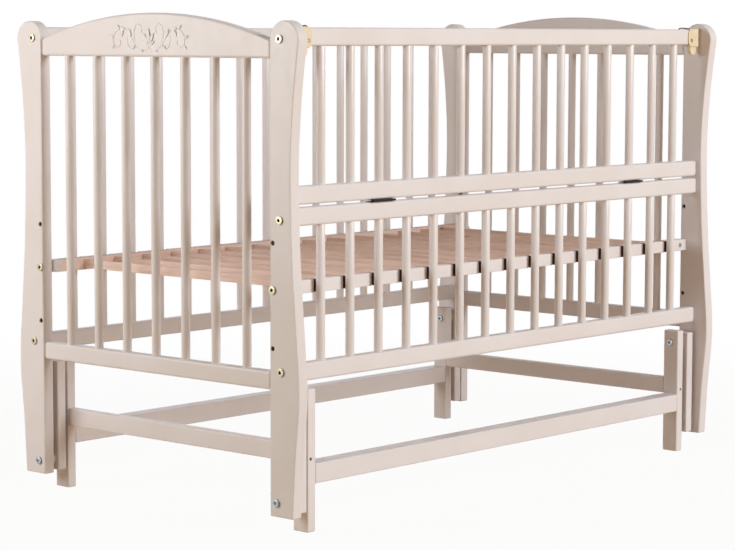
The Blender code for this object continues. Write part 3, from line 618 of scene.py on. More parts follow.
def post_holes(side, end):
    """Cutter for a post's bolt holes and spare holes."""
    places = [BASE_BOLT, *SPARE_HOLES, RAIL_BOLTS["top"], RAIL_BOLTS["bottom"]]
    if side == SIDES["front"]:
        places.append(RAIL_BOLTS["hinge"])
    cutter = bmesh.new()
    inner, outer = end * (POST_LOW.x - OVERRUN), end * (POST_HIGH.x + OVERRUN)
    for y, z in places:
        rod(cutter, X_AXIS, inner, outer, (side * y, z), sizes().hole_radius)
    return cutter


class CRIB_OT_posts(bpy.types.Operator):
    """Build the four wavy posts with their bolt holes"""

    bl_idname = "crib.posts"
    bl_label = "Posts"

    def execute(self, context):
        for side_name, side, end_name, end in CORNERS:
            bm = bmesh.new()
            slab(bm, post_outline(side), X_AXIS, end * POST_LOW.x, end * POST_HIGH.x, sizes().board_round)
            add_wood(f"post_{side_name}_{end_name}", bm, "lacquer z", "crib", post_holes(side, end))
        return {"FINISHED"}


# Rails and spindles

# Steps of an end's seven spindles from its middle, and how far a spindle goes into its rails
END_SPINDLE_STEPS = range(-3, 4)
SPINDLE_SINK = 0.003

ARCH_STEPS = 40
ARCH_CORNER_STEPS = 5


def spindle_row(name, places, low, high, body, node_name):
    """Round spindles from one rail to the next."""
    bm = bmesh.new()
    for place in places:
        rod(bm, Z_AXIS, low - SPINDLE_SINK, high + SPINDLE_SINK, place, sizes().spindle_radius)
    add_piece(name, bm, "lacquer z", body, [node_name])


def arch_outline(low, high, half):
    """The arched rail seen from its end."""
    corner = sizes().arch_corner
    rise = sizes().arch_rise
    radius = (half**2 + rise**2) / (2 * rise)
    centre = high - radius
    spread_angle = math.asin((half - corner) / (radius - corner))
    corner_z = centre + (radius - corner) * math.cos(spread_angle)
    near, far = 90 - math.degrees(spread_angle), 90 + math.degrees(spread_angle)
    outline = [(-half, low), (half, low)]
    outline += arc((half - corner, corner_z), corner, 0, near, ARCH_CORNER_STEPS)[:-1]
    outline += arc((0, centre), radius, near, far, ARCH_STEPS)
    outline += arc((corner - half, corner_z), corner, far, 180, ARCH_CORNER_STEPS)[1:]
    return outline


class CRIB_OT_end_frames(bpy.types.Operator):
    """Build the arched and straight end rails and their spindles"""

    bl_idname = "crib.end_frames"
    bl_label = "End frames"

    def execute(self, context):
        for end_name in ENDS:
            arch_name = f"end_top_rail_{end_name}"
            rail_name = f"end_bottom_rail_{end_name}"
            low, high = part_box(arch_name)
            half = high.y
            bm = bmesh.new()
            slab(bm, arch_outline(low.z, high.z, half), X_AXIS, low.x, high.x, sizes().rail_round)
            add_wood(arch_name, bm, "lacquer y", "crib")
            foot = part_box(rail_name)[0].z
            top = foot + sizes().end_rail_height
            bm = bmesh.new()
            board(bm, (low.x, high.x), (-half, half), (foot, top), sizes().rail_round)
            add_wood(rail_name, bm, "lacquer y", "crib")
            x = (low.x + high.x) / 2
            places = [(x, step * sizes().spindle_pitch) for step in END_SPINDLE_STEPS]
            spindle_row(f"end_spindles_{end_name}", places, top, low.z, "crib", rail_name)
        return {"FINISHED"}


def side_board(node_name, side, reach, body, cutter=None):
    """A long rail of the front or back. Its node's box also holds spindles or bolts, so its size is given."""
    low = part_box(node_name)[0].z
    bm = bmesh.new()
    ys = mirrored((RAIL_LOW.y, RAIL_HIGH.y), side)
    board(bm, (-reach, reach), ys, (low, low + RAIL_HEIGHT), sizes().rail_round)
    add_wood(node_name, bm, "lacquer x", body, cutter)


def side_panel(name, side, top_name, bottom_name, reach, body, notches=None):
    """Two long rails and the fifteen spindles between them."""
    side_board(top_name, side, reach, body, notches)
    side_board(bottom_name, side, reach, body)
    places = [(x, side * RAIL_MIDDLE_Y) for x in SLAT_PLACES]
    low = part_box(bottom_name)[0].z + RAIL_HEIGHT
    spindle_row(f"{name}_spindles", places, low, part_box(top_name)[0].z, body, bottom_name)


class CRIB_OT_fixed_sides(bpy.types.Operator):
    """Build the back and the lower front panel: rails and spindles"""

    bl_idname = "crib.fixed_sides"
    bl_label = "Fixed sides"

    def execute(self, context):
        side_panel("back", SIDES["back"], "back_top_rail", "back_bottom_rail", SIDE_REACH, "crib")
        side_panel("front", SIDES["front"], "hinge_rail_lower", "front_bottom_rail", SIDE_REACH, "crib")
        return {"FINISHED"}


def reaches(node_name):
    """How near the middle a node starts and how far from it the node ends, along X."""
    return sorted(abs(corner.x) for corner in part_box(node_name))


def latch_spans(end_name, end):
    """Where a latch's plate starts, where its body starts and where both end, along X."""
    inner, outer = reaches(f"latch_{end_name}")
    body = reaches(f"latch_tab_{end_name}")[0] - sizes().latch_wall - JOINT_GAP
    return end * inner, end * body, end * outer


class CRIB_OT_drop_side(bpy.types.Operator):
    """Build the drop side: two rails and their spindles"""

    bl_idname = "crib.drop_side"
    bl_label = "Drop side"

    def execute(self, context):
        notches = bmesh.new()
        for end_name, end in ENDS.items():
            low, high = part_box(f"latch_{end_name}")
            body, outer = latch_spans(end_name, end)[1:]
            inner_corner = (body - end * JOINT_GAP, low.y - OVERRUN, low.z - OVERRUN)
            outer_corner = (outer + end * OVERRUN, high.y + JOINT_GAP, high.z + OVERRUN)
            box_between(notches, inner_corner, outer_corner)
        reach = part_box("drop_top_rail")[1].x
        side_panel(
            "drop_side", SIDES["front"], "drop_top_rail", "drop_hinge_rail", reach, "drop_side", notches
        )
        return {"FINISHED"}


# Carving on the left end's arched rail

# Its middle, its depth in the wood as a share of its line, and how much it is wider and taller than its
# points say
CARVING_Y = 0.005
CARVING_Z = ARCH_LOW.z + 0.036
CARVING_DEPTH_SHARE = 0.5
CARVING_WIDER, CARVING_TALLER = 1.13, 1.28

# Its strokes on each side, as places out from and up from its middle
SCROLL = (
    (0.004, -0.015), (0.015, -0.019), (0.029, -0.013), (0.041, 0.001), (0.055, 0.010), (0.071, 0.009),
    (0.081, -0.001), (0.079, -0.012), (0.070, -0.014), (0.065, -0.007), (0.071, -0.003),
)
CURL = (
    (0.021, -0.018), (0.031, -0.006), (0.033, 0.008), (0.026, 0.017), (0.017, 0.014), (0.017, 0.006),
    (0.023, 0.005),
)
TENDRIL = ((0.046, 0.006), (0.049, -0.005), (0.045, -0.014), (0.037, -0.017), (0.034, -0.011))

# A stroke's radius at its start and end, as shares of its widest, which it has after a third of its length
STROKE_START_SHARE = 0.55
STROKE_END_SHARE = 0.35
STROKE_SWELL = 3

# Leaves on each side and in the fan: root, turn from upright in degrees, length and width
SIDE_LEAVES = (
    ((0.040, 0.000), -25, 0.015, 0.0062), ((0.053, 0.010), -78, 0.014, 0.0058),
    ((0.066, 0.010), -50, 0.012, 0.0054), ((0.080, -0.001), -75, 0.011, 0.0050),
    ((0.030, -0.012), -120, 0.012, 0.0052), ((0.058, 0.009), -150, 0.012, 0.0052),
    ((0.079, -0.012), -125, 0.009, 0.0044), ((0.012, -0.019), -100, 0.009, 0.0044),
)
FAN_ROOT = (0, -0.011)
FAN_LEAVES = (
    (FAN_ROOT, 0, 0.027, 0.0085), (FAN_ROOT, 34, 0.023, 0.0075), (FAN_ROOT, -34, 0.023, 0.0075),
    (FAN_ROOT, 68, 0.016, 0.0062), (FAN_ROOT, -68, 0.016, 0.0062),
)

# One half of a leaf's outline, as shares of its length and width
LEAF_SHARES = ((0.22, 0.38), (0.5, 0.5), (0.8, 0.27))
LEAF_RIM_SHARE = 0.16

# How far a leaf stands out at its rim, how far its middle sinks back, as shares of its lift, and how far its
# edge is sunk in the rail
LEAF_RIM_LIFT_SHARE = 0.8
LEAF_VEIN_SHARE = 0.45
LEAF_SINK = 0.0002

# Beads under the fan: place and radius, how flat they are and how far their middle is sunk in the rail
BEADS = ((0, -0.015, 0.0026), (-0.0056, -0.0185, 0.0018), (0.0056, -0.0185, 0.0018))
BEAD_FLAT_SHARE = 0.5
BEAD_SINK = 0.0003


def carved_place(out, up, side=1):
    """Y and Z of a point of the carving."""
    return CARVING_Y + side * out * CARVING_WIDER, CARVING_Z + up * CARVING_TALLER


def stroke(bm, side, points):
    """A carved stroke that swells from its start and ends in a thin tip."""
    line = sizes().carving_line
    x = ARCH_LOW.x + line * CARVING_DEPTH_SHARE
    count = len(points) - 1
    swells = [min(1, STROKE_SWELL * k / count) for k in range(count + 1)]
    radii = [line * (STROKE_START_SHARE + (1 - STROKE_START_SHARE) * swell) for swell in swells]
    radii[-1] = line * STROKE_END_SHARE
    wire(bm, [(x, *carved_place(out, up, side)) for out, up in points], radii)


def leaf(bm, side, root, degrees, length, width):
    """A carved leaf on the rail's outer face: a pointed outline raised along its middle."""
    length *= CARVING_WIDER
    width *= CARVING_WIDER
    root_y, root_z = carved_place(*root, side)
    turn = Matrix.Rotation(side * math.radians(degrees), 3, "X")
    lift = sizes().carving_lift
    other_half = [(run, -across) for run, across in reversed(LEAF_SHARES)]
    verts = []
    for run, across in ((0, 0), *LEAF_SHARES, (1, 0), *other_half):
        point = turn @ Vector((0, width * across, length * run))
        verts.append(bm.verts.new((ARCH_LOW.x + LEAF_SINK, root_y + point.y, root_z + point.z)))
    face = bm.faces.new(verts)
    bmesh.ops.inset_region(bm, faces=[face], thickness=width * LEAF_RIM_SHARE, use_even_offset=True)
    bmesh.ops.translate(bm, verts=face.verts, vec=(-lift * LEAF_RIM_LIFT_SHARE, 0, 0))
    middle = bmesh.ops.poke(bm, faces=[face])["verts"]
    bmesh.ops.translate(bm, verts=middle, vec=(lift * LEAF_VEIN_SHARE, 0, 0))


class CRIB_OT_carving(bpy.types.Operator):
    """Build the leaf scroll in the middle of the left end's arched rail"""

    bl_idname = "crib.carving"
    bl_label = "Leaf scroll carving"

    def execute(self, context):
        bm = bmesh.new()
        for side in (-1, 1):
            for points in (SCROLL, CURL, TENDRIL):
                stroke(bm, side, points)
            for values in SIDE_LEAVES:
                leaf(bm, side, *values)
        for values in FAN_LEAVES:
            leaf(bm, 1, *values)
        for out, up, radius in BEADS:
            centre = (ARCH_LOW.x + BEAD_SINK, *carved_place(out, up))
            place = Matrix.Translation(centre) @ Matrix.Diagonal((BEAD_FLAT_SHARE, 1, 1, 1))
            bmesh.ops.create_uvsphere(bm, u_segments=12, v_segments=8, radius=radius, matrix=place)
        add_piece("end_top_rail_left_carving", bm, "lacquer y", "crib", ["end_top_rail_left"])
        return {"FINISHED"}


# Mattress base, stand and swing arms

SLOT_RIM = 0.0005

# The screw through a leg: how far outward from the leg's middle and up from its cross rail's foot it is, and
# the radius and depth of its hole
LEG_SCREW_OUT = 0.0024
LEG_SCREW_UP = 0.009
LEG_HOLE_RADIUS = 0.003
LEG_HOLE_DEPTH = 0.008
SCREW_SIDES = 20


class CRIB_OT_mattress_base(bpy.types.Operator):
    """Build the slats and the two base rails that hold them"""

    bl_idname = "crib.mattress_base"
    bl_label = "Mattress base"

    def execute(self, context):
        low, high = BASE_LOW.z, BASE_HIGH.z
        for side_name, side in SIDES.items():
            bm = bmesh.new()
            ys = mirrored((BASE_LOW.y, BASE_HIGH.y), side)
            board(bm, (-SIDE_REACH, SIDE_REACH), ys, (low, high), sizes().slat_round)
            slots = bmesh.new()
            inner, outer = mirrored((SLAT_HIGH.y + JOINT_GAP, BASE_HIGH.y + OVERRUN), side)
            for x in SLAT_PLACES:
                low_corner = (x - SLOT_HALF, inner, low - OVERRUN)
                box_between(slots, low_corner, (x + SLOT_HALF, outer, high + OVERRUN))
            add_wood(f"base_rail_{side_name}", bm, "half sprayed", "crib", slots, SLOT_RIM)
        for node_name in SLATS:
            add_board(node_name, "raw y", "crib", sizes().slat_round)
        return {"FINISHED"}


def leg_screw_place(side_name, end_name):
    """Where the screw through a leg into its cross rail comes to the leg's outer face."""
    low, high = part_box(f"leg_{side_name}_{end_name}")
    face = high.y if SIDES[side_name] > 0 else low.y
    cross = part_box(f"stand_cross_{end_name}")[0].z
    return (low.x + high.x) / 2 + ENDS[end_name] * LEG_SCREW_OUT, face, cross + LEG_SCREW_UP


class CRIB_OT_stand(bpy.types.Operator):
    """Build the stand: four legs, two long rails and two cross rails"""

    bl_idname = "crib.stand"
    bl_label = "Stand"

    def execute(self, context):
        radius = sizes().board_round
        for side_name, side in SIDES.items():
            add_board(f"stand_rail_{side_name}", "lacquer x", "stand", radius)
            for end_name in ENDS:
                x, face, z = leg_screw_place(side_name, end_name)
                inner, outer = face - side * LEG_HOLE_DEPTH, face + side * OVERRUN
                hole = bmesh.new()
                rod(hole, Y_AXIS, inner, outer, (x, z), LEG_HOLE_RADIUS, sides=SCREW_SIDES)
                add_board(f"leg_{side_name}_{end_name}", "lacquer z", "stand", radius, hole)
        for end_name in ENDS:
            add_board(f"stand_cross_{end_name}", "lacquer y", "stand", radius)
        return {"FINISHED"}


class CRIB_OT_swing_arms(bpy.types.Operator):
    """Build the four swing arms"""

    bl_idname = "crib.swing_arms"
    bl_label = "Swing arms"

    def execute(self, context):
        for side_name, _, end_name, _ in CORNERS:
            corner = f"{side_name}_{end_name}"
            add_board(f"swing_arm_{corner}", "lacquer z", f"arm_{corner}", sizes().board_round)
        return {"FINISHED"}


# Bolts, nuts and screws

# Rounding of small turned and pressed metal
METAL_EDGE = 0.0004
FINE_EDGE = 0.0003

# Bolts with a six sided socket: radius of shank, head and socket, height of head and depth of socket
PIVOT_BOLT = {"shank": 0.004, "radius": 0.007, "height": 0.004, "socket": 0.0029, "depth": 0.007}
CONNECTOR_BOLT = {"shank": 0.004, "socket": 0.0033, "depth": 0.007}
BOLT_STEPS = 24
HEX = 6

# A bolt head's rounding as a share of its height, its first turn as a share of that, and the flat that starts
# round the socket as a share of the socket's radius
HEAD_ROUND_SHARE = 0.3
HEAD_TURN_SHARE = 0.3
SOCKET_MOUTH_SHARE = 1.15

# A pivot bolt's nut, and the bolt's end, which stands out of it by a hair
NUT_RADIUS = 0.0065
NUT_HEIGHT = 0.0044
NUT_EDGE = 0.0005
THREAD_RADIUS = 0.0035
THREAD_SIDES = 16
THREAD_PROUD = 0.0001
SPACER_SIDES = 32
SPACER_EDGE = 0.0008

# How far a connector bolt goes past its post, and the dark plug of painted shade in its socket: radius,
# height and depth
CONNECTOR_PAST = 0.001
SOCKET_SHADE_RADIUS = 0.0032
SOCKET_SHADE_HEIGHT = 0.005
SOCKET_SHADE_DEPTH = 0.004

# Inserts in the spare holes: how far they are sunk at the post's inner and outer face, and their clearance
INSERT_INNER_SINK = 0.005
INSERT_OUTER_SINK = 0.0015
INSERT_GAP = 0.0001

# Barrel nuts in the base rails: distance from the post, radius, depth and how far they stand out, and the
# slot in their end
BARREL_FROM_POST = 0.0228
BARREL_RADIUS = 0.005
BARREL_DEPTH = 0.006
BARREL_PROUD = 0.0004
BARREL_SLOT_DEPTH = 0.0012
BARREL_SLOT_HALF = 0.0007
BARREL_SLOT_RIM = 0.0002

# Screws with a cross in a sunk head: how deep their foot, their cross and their head lie, radius, rounding,
# and the half length and half width of the cross
LEG_SCREW = {
    "depths": (0.0075, 0.0055, 0.003), "radius": 0.0028, "edge": FINE_EDGE, "arm": (0.0021, 0.0006),
    "sides": SCREW_SIDES,
}
LATCH_SCREW = {
    "depths": (0.002, 0.0016, 0.0007), "radius": 0.0041, "edge": METAL_EDGE, "arm": (0.0022, 0.0007),
}
CROSS_RIM = 0.0001

# Groups of connector bolts: the node or fitting that they hold, its side and their place on the posts
CONNECTORS = (
    ("back_top_rail", SIDES["back"], RAIL_BOLTS["top"]),
    ("back_bottom_rail", SIDES["back"], RAIL_BOLTS["bottom"]),
    ("front_bottom_rail", SIDES["front"], RAIL_BOLTS["bottom"]),
    ("hinge_rail_lower", SIDES["front"], RAIL_BOLTS["hinge"]),
    ("base_rail_front", SIDES["front"], BASE_BOLT),
    ("base_rail_back", SIDES["back"], BASE_BOLT),
    ("latch_striker", SIDES["front"], RAIL_BOLTS["top"]),
)


def socket_bolt(bm, face, out, length, shank, radius, height, socket, depth):
    """A bolt whose round head lies on a face, out along X, with a six sided socket sunk into the shank."""
    x, y, z = face
    edge = height * HEAD_ROUND_SHARE
    turn = edge * HEAD_TURN_SHARE
    profile = [
        (-length, shank), (0, shank), (0, radius), (height - edge, radius), (height - turn, radius - turn),
        (height, radius - edge), (height, socket * SOCKET_MOUTH_SHARE),
    ]
    verts = [bm.verts.new((x + out * run, y + reach, z)) for run, reach in profile]
    edges = [bm.edges.new(pair) for pair in zip(verts, verts[1:])]
    bmesh.ops.spin(
        bm, geom=verts + edges, cent=(x, y, z), axis=(1, 0, 0), angle=2 * math.pi, steps=BOLT_STEPS,
        use_merge=True,
    )
    bmesh.ops.remove_doubles(bm, verts=bm.verts, dist=TOUCH)
    level = x + out * height
    place = Matrix.Translation((level, y, z)) @ turn_to((1, 0, 0))
    six = bmesh.ops.create_circle(bm, cap_ends=False, radius=socket, segments=HEX, matrix=place)["verts"]
    six_edges = edges_of(six)
    rim = [
        e for e in bm.edges
        if e.is_boundary and abs(e.verts[0].co.x - level) < TOUCH and e not in six_edges
        and (e.verts[0].co.yz - Vector((y, z))).length < radius
    ]
    bmesh.ops.bridge_loops(bm, edges=rim + six_edges)
    pushed = bmesh.ops.extrude_edge_only(bm, edges=six_edges)["geom"]
    moved = [item for item in pushed if isinstance(item, bmesh.types.BMVert)]
    bmesh.ops.translate(bm, verts=moved, vec=(-out * depth, 0, 0))
    floor_edges = [item for item in pushed if isinstance(item, bmesh.types.BMEdge)]
    bmesh.ops.contextual_create(bm, geom=floor_edges)
    foot_x = x - out * length
    foot = [e for e in bm.edges if e.is_boundary and abs(e.verts[0].co.x - foot_x) < TOUCH]
    bmesh.ops.contextual_create(bm, geom=foot)


class CRIB_OT_pivots(bpy.types.Operator):
    """Build the eight pivot bolts with their nuts and spacer rings"""

    bl_idname = "crib.pivots"
    bl_label = "Pivot bolts"

    def execute(self, context):
        for side_name, _, end_name, end in CORNERS:
            for level in ("upper", "lower"):
                self.pivot(f"{side_name}_{end_name}", end, level)
        return {"FINISHED"}

    def pivot(self, corner, end, level):
        node_name = f"pivot_{level}_{corner}"
        low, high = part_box(node_name)
        place = ((low.y + high.y) / 2, (low.z + high.z) / 2)
        arm_inner, arm_outer = reaches(f"swing_arm_{corner}")
        if level == "upper":
            body = "stand"
            seat, leg_outer = reaches(f"leg_{corner}")
            ring = (leg_outer, arm_inner)
            nut = arm_outer
            out = -1
        else:
            body = "crib"
            seat = POST_HIGH.x
            ring = (arm_outer, POST_LOW.x)
            nut = arm_inner
            out = 1
        nut_start = end * (nut - out * JOINT_GAP)
        nut_end = end * (nut - out * (JOINT_GAP + NUT_HEIGHT))
        thread_end = nut_end - end * out * THREAD_PROUD
        face = (end * (seat + out * JOINT_GAP), *place)
        bm = bmesh.new()
        rod(bm, X_AXIS, nut_start, nut_end, place, NUT_RADIUS, NUT_EDGE, HEX)
        rod(bm, X_AXIS, nut_start, thread_end, place, THREAD_RADIUS, sides=THREAD_SIDES)
        socket_bolt(bm, face, end * out, abs(seat - nut) + JOINT_GAP, **PIVOT_BOLT)
        add_piece(f"{node_name}_bolt", bm, "zinc", body, [node_name])
        bm = bmesh.new()
        start, stop = end * (ring[0] + JOINT_GAP), end * (ring[1] - JOINT_GAP)
        rod(bm, X_AXIS, start, stop, place, sizes().spacer_radius, SPACER_EDGE, SPACER_SIDES)
        add_piece(f"{node_name}_spacer", bm, "spacer", body, [node_name])


def cross_screw(name, look, body, nodes, place, out, depths, radius, edge, arm, sides=None):
    """A screw along Y with a cross in its head. Its depths are measured from the face that it is sunk in."""
    x, face, z = place
    foot, cross, head = (face - out * depth for depth in depths)
    bm = bmesh.new()
    rod(bm, Y_AXIS, foot, head, (x, z), radius, edge, sides)
    cutter = bmesh.new()
    for wide, tall in (arm, arm[::-1]):
        box_between(cutter, (x - wide, cross, z - tall), (x + wide, face + out * OVERRUN, z + tall))
    add_piece(name, bm, look, body, nodes, cutter, CROSS_RIM)


class CRIB_OT_connectors(bpy.types.Operator):
    """Build the posts' connector bolts and inserts, the base rails' barrel nuts and the legs' screws"""

    bl_idname = "crib.connectors"
    bl_label = "Connectors and screws"

    def execute(self, context):
        for name, side, (y, z) in CONNECTORS:
            self.bolts(name, (side * y, z))
        self.thread_inserts()
        self.barrel_nuts()
        self.leg_screws()
        return {"FINISHED"}

    def bolts(self, name, place):
        """A bolt in the post at each end, and a dark plug in its socket as painted shade."""
        head = {"radius": sizes().connector_radius, "height": sizes().connector_height}
        length = POST_HIGH.x - POST_LOW.x + JOINT_GAP + CONNECTOR_PAST
        bolts = bmesh.new()
        socket_shade_plugs = bmesh.new()
        for end in ENDS.values():
            face = (end * (POST_HIGH.x + JOINT_GAP), *place)
            socket_bolt(bolts, face, end, length, **CONNECTOR_BOLT, **head)
            # Painted shade: a dark bronze plug in the socket, where the socket's inside lies in shade
            start = end * (POST_HIGH.x - SOCKET_SHADE_DEPTH)
            rod(socket_shade_plugs, X_AXIS, start, start + end * SOCKET_SHADE_HEIGHT, place, SOCKET_SHADE_RADIUS, METAL_EDGE, HEX)
        add_piece(f"{name}_bolts", bolts, "brass", "crib", [name] if name != "latch_striker" else [])
        add_piece(f"{name}_sockets", socket_shade_plugs, "bronze", "crib")

    def thread_inserts(self):
        """Threaded inserts, sunk in the posts' spare holes for the other two heights of the base."""
        for side_name, side, end_name, end in CORNERS:
            bm = bmesh.new()
            start = end * (POST_LOW.x + INSERT_INNER_SINK)
            stop = end * (POST_HIGH.x - INSERT_OUTER_SINK)
            for y, z in SPARE_HOLES:
                rod(bm, X_AXIS, start, stop, (side * y, z), sizes().hole_radius - INSERT_GAP, METAL_EDGE)
            add_piece(f"post_{side_name}_{end_name}_inserts", bm, "bronze", "crib")

    def barrel_nuts(self):
        """Slotted ends of the barrel nuts, let into the base rails' outer faces."""
        z = (BASE_LOW.z + BASE_HIGH.z) / 2
        tall = BARREL_RADIUS + OVERRUN
        depths = (BASE_HIGH.y - BARREL_DEPTH, BASE_HIGH.y + BARREL_PROUD)
        slot_depths = (BASE_HIGH.y - BARREL_SLOT_DEPTH, BASE_HIGH.y + OVERRUN)
        for side_name, side in SIDES.items():
            bm = bmesh.new()
            cutter = bmesh.new()
            foot, head = mirrored(depths, side)
            slot_foot, slot_head = mirrored(slot_depths, side)
            for end in ENDS.values():
                x = end * (POST_LOW.x - BARREL_FROM_POST)
                rod(bm, Y_AXIS, foot, head, (x, z), BARREL_RADIUS, METAL_EDGE)
                low_corner = (x - BARREL_SLOT_HALF, slot_foot, z - tall)
                box_between(cutter, low_corner, (x + BARREL_SLOT_HALF, slot_head, z + tall))
            name = f"base_rail_{side_name}"
            add_piece(f"{name}_barrel_nuts", bm, "zinc", "crib", [name], cutter, BARREL_SLOT_RIM)

    def leg_screws(self):
        """A sunk cross head screw through each leg into its cross rail."""
        for side_name, side, end_name, _ in CORNERS:
            leg = f"leg_{side_name}_{end_name}"
            place = leg_screw_place(side_name, end_name)
            cross_screw(f"{leg}_screw", "bronze", "stand", [leg], place, side, **LEG_SCREW)


# Hinges

# Half the length of a hinge's middle knuckle, how far its leaves curl back to their knuckles, and its pin
KNUCKLE_HALF = 0.011
LEAF_CURL = 0.005
LEAF_CURL_EDGE = 0.0002
PIN_RADIUS = 0.001
PIN_SIDES = 16


class CRIB_OT_hinges(bpy.types.Operator):
    """Build the two butt hinges of the drop side"""

    bl_idname = "crib.hinges"
    bl_label = "Hinges"

    def execute(self, context):
        thick = sizes().hinge_leaf
        radius = sizes().knuckle_radius
        for end_name in ENDS:
            fixed_low, fixed_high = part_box(f"hinge_{end_name}_fixed")
            moving_low, moving_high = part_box(f"hinge_{end_name}_moving")
            x = (fixed_low.x + fixed_high.x) / 2
            half = (fixed_high.x - fixed_low.x) / 2
            line = (fixed_low.y + radius, moving_low.z + radius)
            near = KNUCKLE_HALF + JOINT_GAP
            knuckles = {"fixed": [(-KNUCKLE_HALF, KNUCKLE_HALF)], "moving": [(-half, -near), (near, half)]}
            levels = {
                "fixed": (fixed_low.z, fixed_low.z + thick), "moving": (moving_high.z - thick, moving_high.z)
            }
            for part, body in (("fixed", "crib"), ("moving", "drop_side")):
                zs = levels[part]
                bm = bmesh.new()
                board(bm, (x - half, x + half), (-RAIL_HIGH.y, fixed_high.y), zs, FINE_EDGE)
                for start, end in knuckles[part]:
                    board(bm, (x + start, x + end), (line[0], LEAF_CURL - RAIL_HIGH.y), zs, LEAF_CURL_EDGE)
                    rod(bm, X_AXIS, x + start, x + end, line, radius, FINE_EDGE)
                if part == "fixed":
                    rod(bm, X_AXIS, x - half, x + half, line, PIN_RADIUS, sides=PIN_SIDES)
                name = f"hinge_{end_name}_{part}"
                add_piece(f"{name}_metal", bm, "bronze", body, [name])
        return {"FINISHED"}


# Latches

# Radius of the corners of a latch's plate
LATCH_CORNER = 0.012

# A latch's rounding on its plate and tongue, on its body and on its cut rims, and steps of its curves
LATCH_EDGE = 0.0008
LATCH_BODY_EDGE = 0.0006
LATCH_RIM = 0.0003
LATCH_CORNER_STEPS = 6
TAB_FOOT_STEPS = 16

# How far a latch's body reaches behind its plate, and the walls in front of, behind and over its tongue
BODY_BACK = 0.001
FRONT_WALL = 0.0025
BACK_WALL = 0.002
TOP_WALL = 0.0019

# Its screw: how far out from the body's start and down from the middle it is, and its hole
LATCH_SCREW_OUT = 0.0042
LATCH_SCREW_DOWN = 0.0055
LATCH_HOLE_RADIUS = 0.0044
LATCH_HOLE_DEPTH = 0.0012

# The spring wires' bends: out from the plate's start, back from the rail's middle, up from lying on the rail
WIRE_START = ((0.018, -0.002, 0.0), (0.003, -0.002, 0.0008))
WIRE_BENDS = {
    "left": (*WIRE_START, (-0.002, 0.0, -0.0042)),
    "right": (
        *WIRE_START, (-0.009, -0.004, 0.0012), (-0.019, -0.006, 0.001), (-0.025, -0.006, -0.00048),
        (-0.027, -0.006, -0.0042),
    ),
}


class CRIB_OT_latches(bpy.types.Operator):
    """Build the drop side's latches: housings, finger tabs, screws and spring wires"""

    bl_idname = "crib.latches"
    bl_label = "Latches"

    def execute(self, context):
        for end_name, end in ENDS.items():
            self.housing(end_name, end)
            self.tab(end_name)
            self.fittings(end_name, end)
        return {"FINISHED"}

    def screw_place(self, end_name, end):
        """Where the screw comes to the front of a latch's plate."""
        low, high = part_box(f"latch_{end_name}")
        x = latch_spans(end_name, end)[1] + end * LATCH_SCREW_OUT
        return x, low.y, (low.z + high.z) / 2 - LATCH_SCREW_DOWN

    def housing(self, end_name, end):
        name = f"latch_{end_name}"
        low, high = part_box(name)
        inner, body, outer = latch_spans(end_name, end)
        corner = LATCH_CORNER
        points = arc((0, high.z - corner), corner, 90, 180, LATCH_CORNER_STEPS)
        points += arc((0, low.z + corner), corner, 180, 270, LATCH_CORNER_STEPS)
        outline = [(outer, low.z), (outer, high.z)]
        outline += [(inner + end * (corner + x), z) for x, z in points]
        plate_back = -RAIL_HIGH.y - JOINT_GAP
        bm = bmesh.new()
        slab(bm, outline, Y_AXIS, plate_back, low.y, LATCH_EDGE)
        board(bm, (body, outer), (plate_back - BODY_BACK, high.y), (low.z, high.z), LATCH_BODY_EDGE)
        wall = end * sizes().latch_wall
        cutter = bmesh.new()
        front_corner = (body + wall, low.y + FRONT_WALL, low.z - OVERRUN)
        box_between(cutter, front_corner, (outer - wall, high.y - BACK_WALL, high.z - TOP_WALL))
        x, face, z = self.screw_place(end_name, end)
        front, floor = face - OVERRUN, face + LATCH_HOLE_DEPTH
        rod(cutter, Y_AXIS, front, floor, (x, z), LATCH_HOLE_RADIUS, sides=SCREW_SIDES)
        add_piece(f"{name}_housing", bm, "ivory", "drop_side", [name], cutter, LATCH_RIM)

    def tab(self, end_name):
        name = f"latch_tab_{end_name}"
        low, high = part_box(name)
        half = (high.x - low.x) / 2
        foot = arc(((low.x + high.x) / 2, low.z + half), half, 180, 360, TAB_FOOT_STEPS)
        bm = bmesh.new()
        slab(bm, [*foot, (high.x, high.z), (low.x, high.z)], Y_AXIS, low.y, high.y, LATCH_EDGE)
        add_piece(f"{name}_lever", bm, "ivory", f"tab_{end_name}", [name])

    def fittings(self, end_name, end):
        """A sunk screw in the plate, and the spring wire's bent end on top of the rail."""
        name = f"latch_{end_name}"
        place = self.screw_place(end_name, end)
        cross_screw(f"{name}_screw", "brass", "drop_side", (), place, SIDES["front"], **LATCH_SCREW)
        radius = sizes().wire_radius
        start = reaches(name)[0]
        top = RAIL_HIGH.z + radius
        bends = WIRE_BENDS[end_name]
        path = [(end * (start + out), back - RAIL_MIDDLE_Y, top + up) for out, back, up in bends]
        bm = bmesh.new()
        wire(bm, path, [radius] * len(path))
        add_piece(f"{name}_spring_wire", bm, "bronze", "drop_side")


# Stage

WHITE = (1.0, 1.0, 1.0, 1.0)

# The floor, a round, and between which distances it fades to white by how much
FLOOR_RADIUS = 12.0
FLOOR_SIDES = 64
FLOOR_ROUGHNESS = 0.9
FLOOR_FADE = {1: 0.9, 2: 2.6, 3: 0.96, 4: 1.0}

# Warm light of the room, which weakens from the horizon up
ROOM_TINT = (1.0, 0.65, 0.29, 1.0)
ROOM_FADE = {1: -0.02, 2: 0.4, 3: 0.506, 4: 0.055}

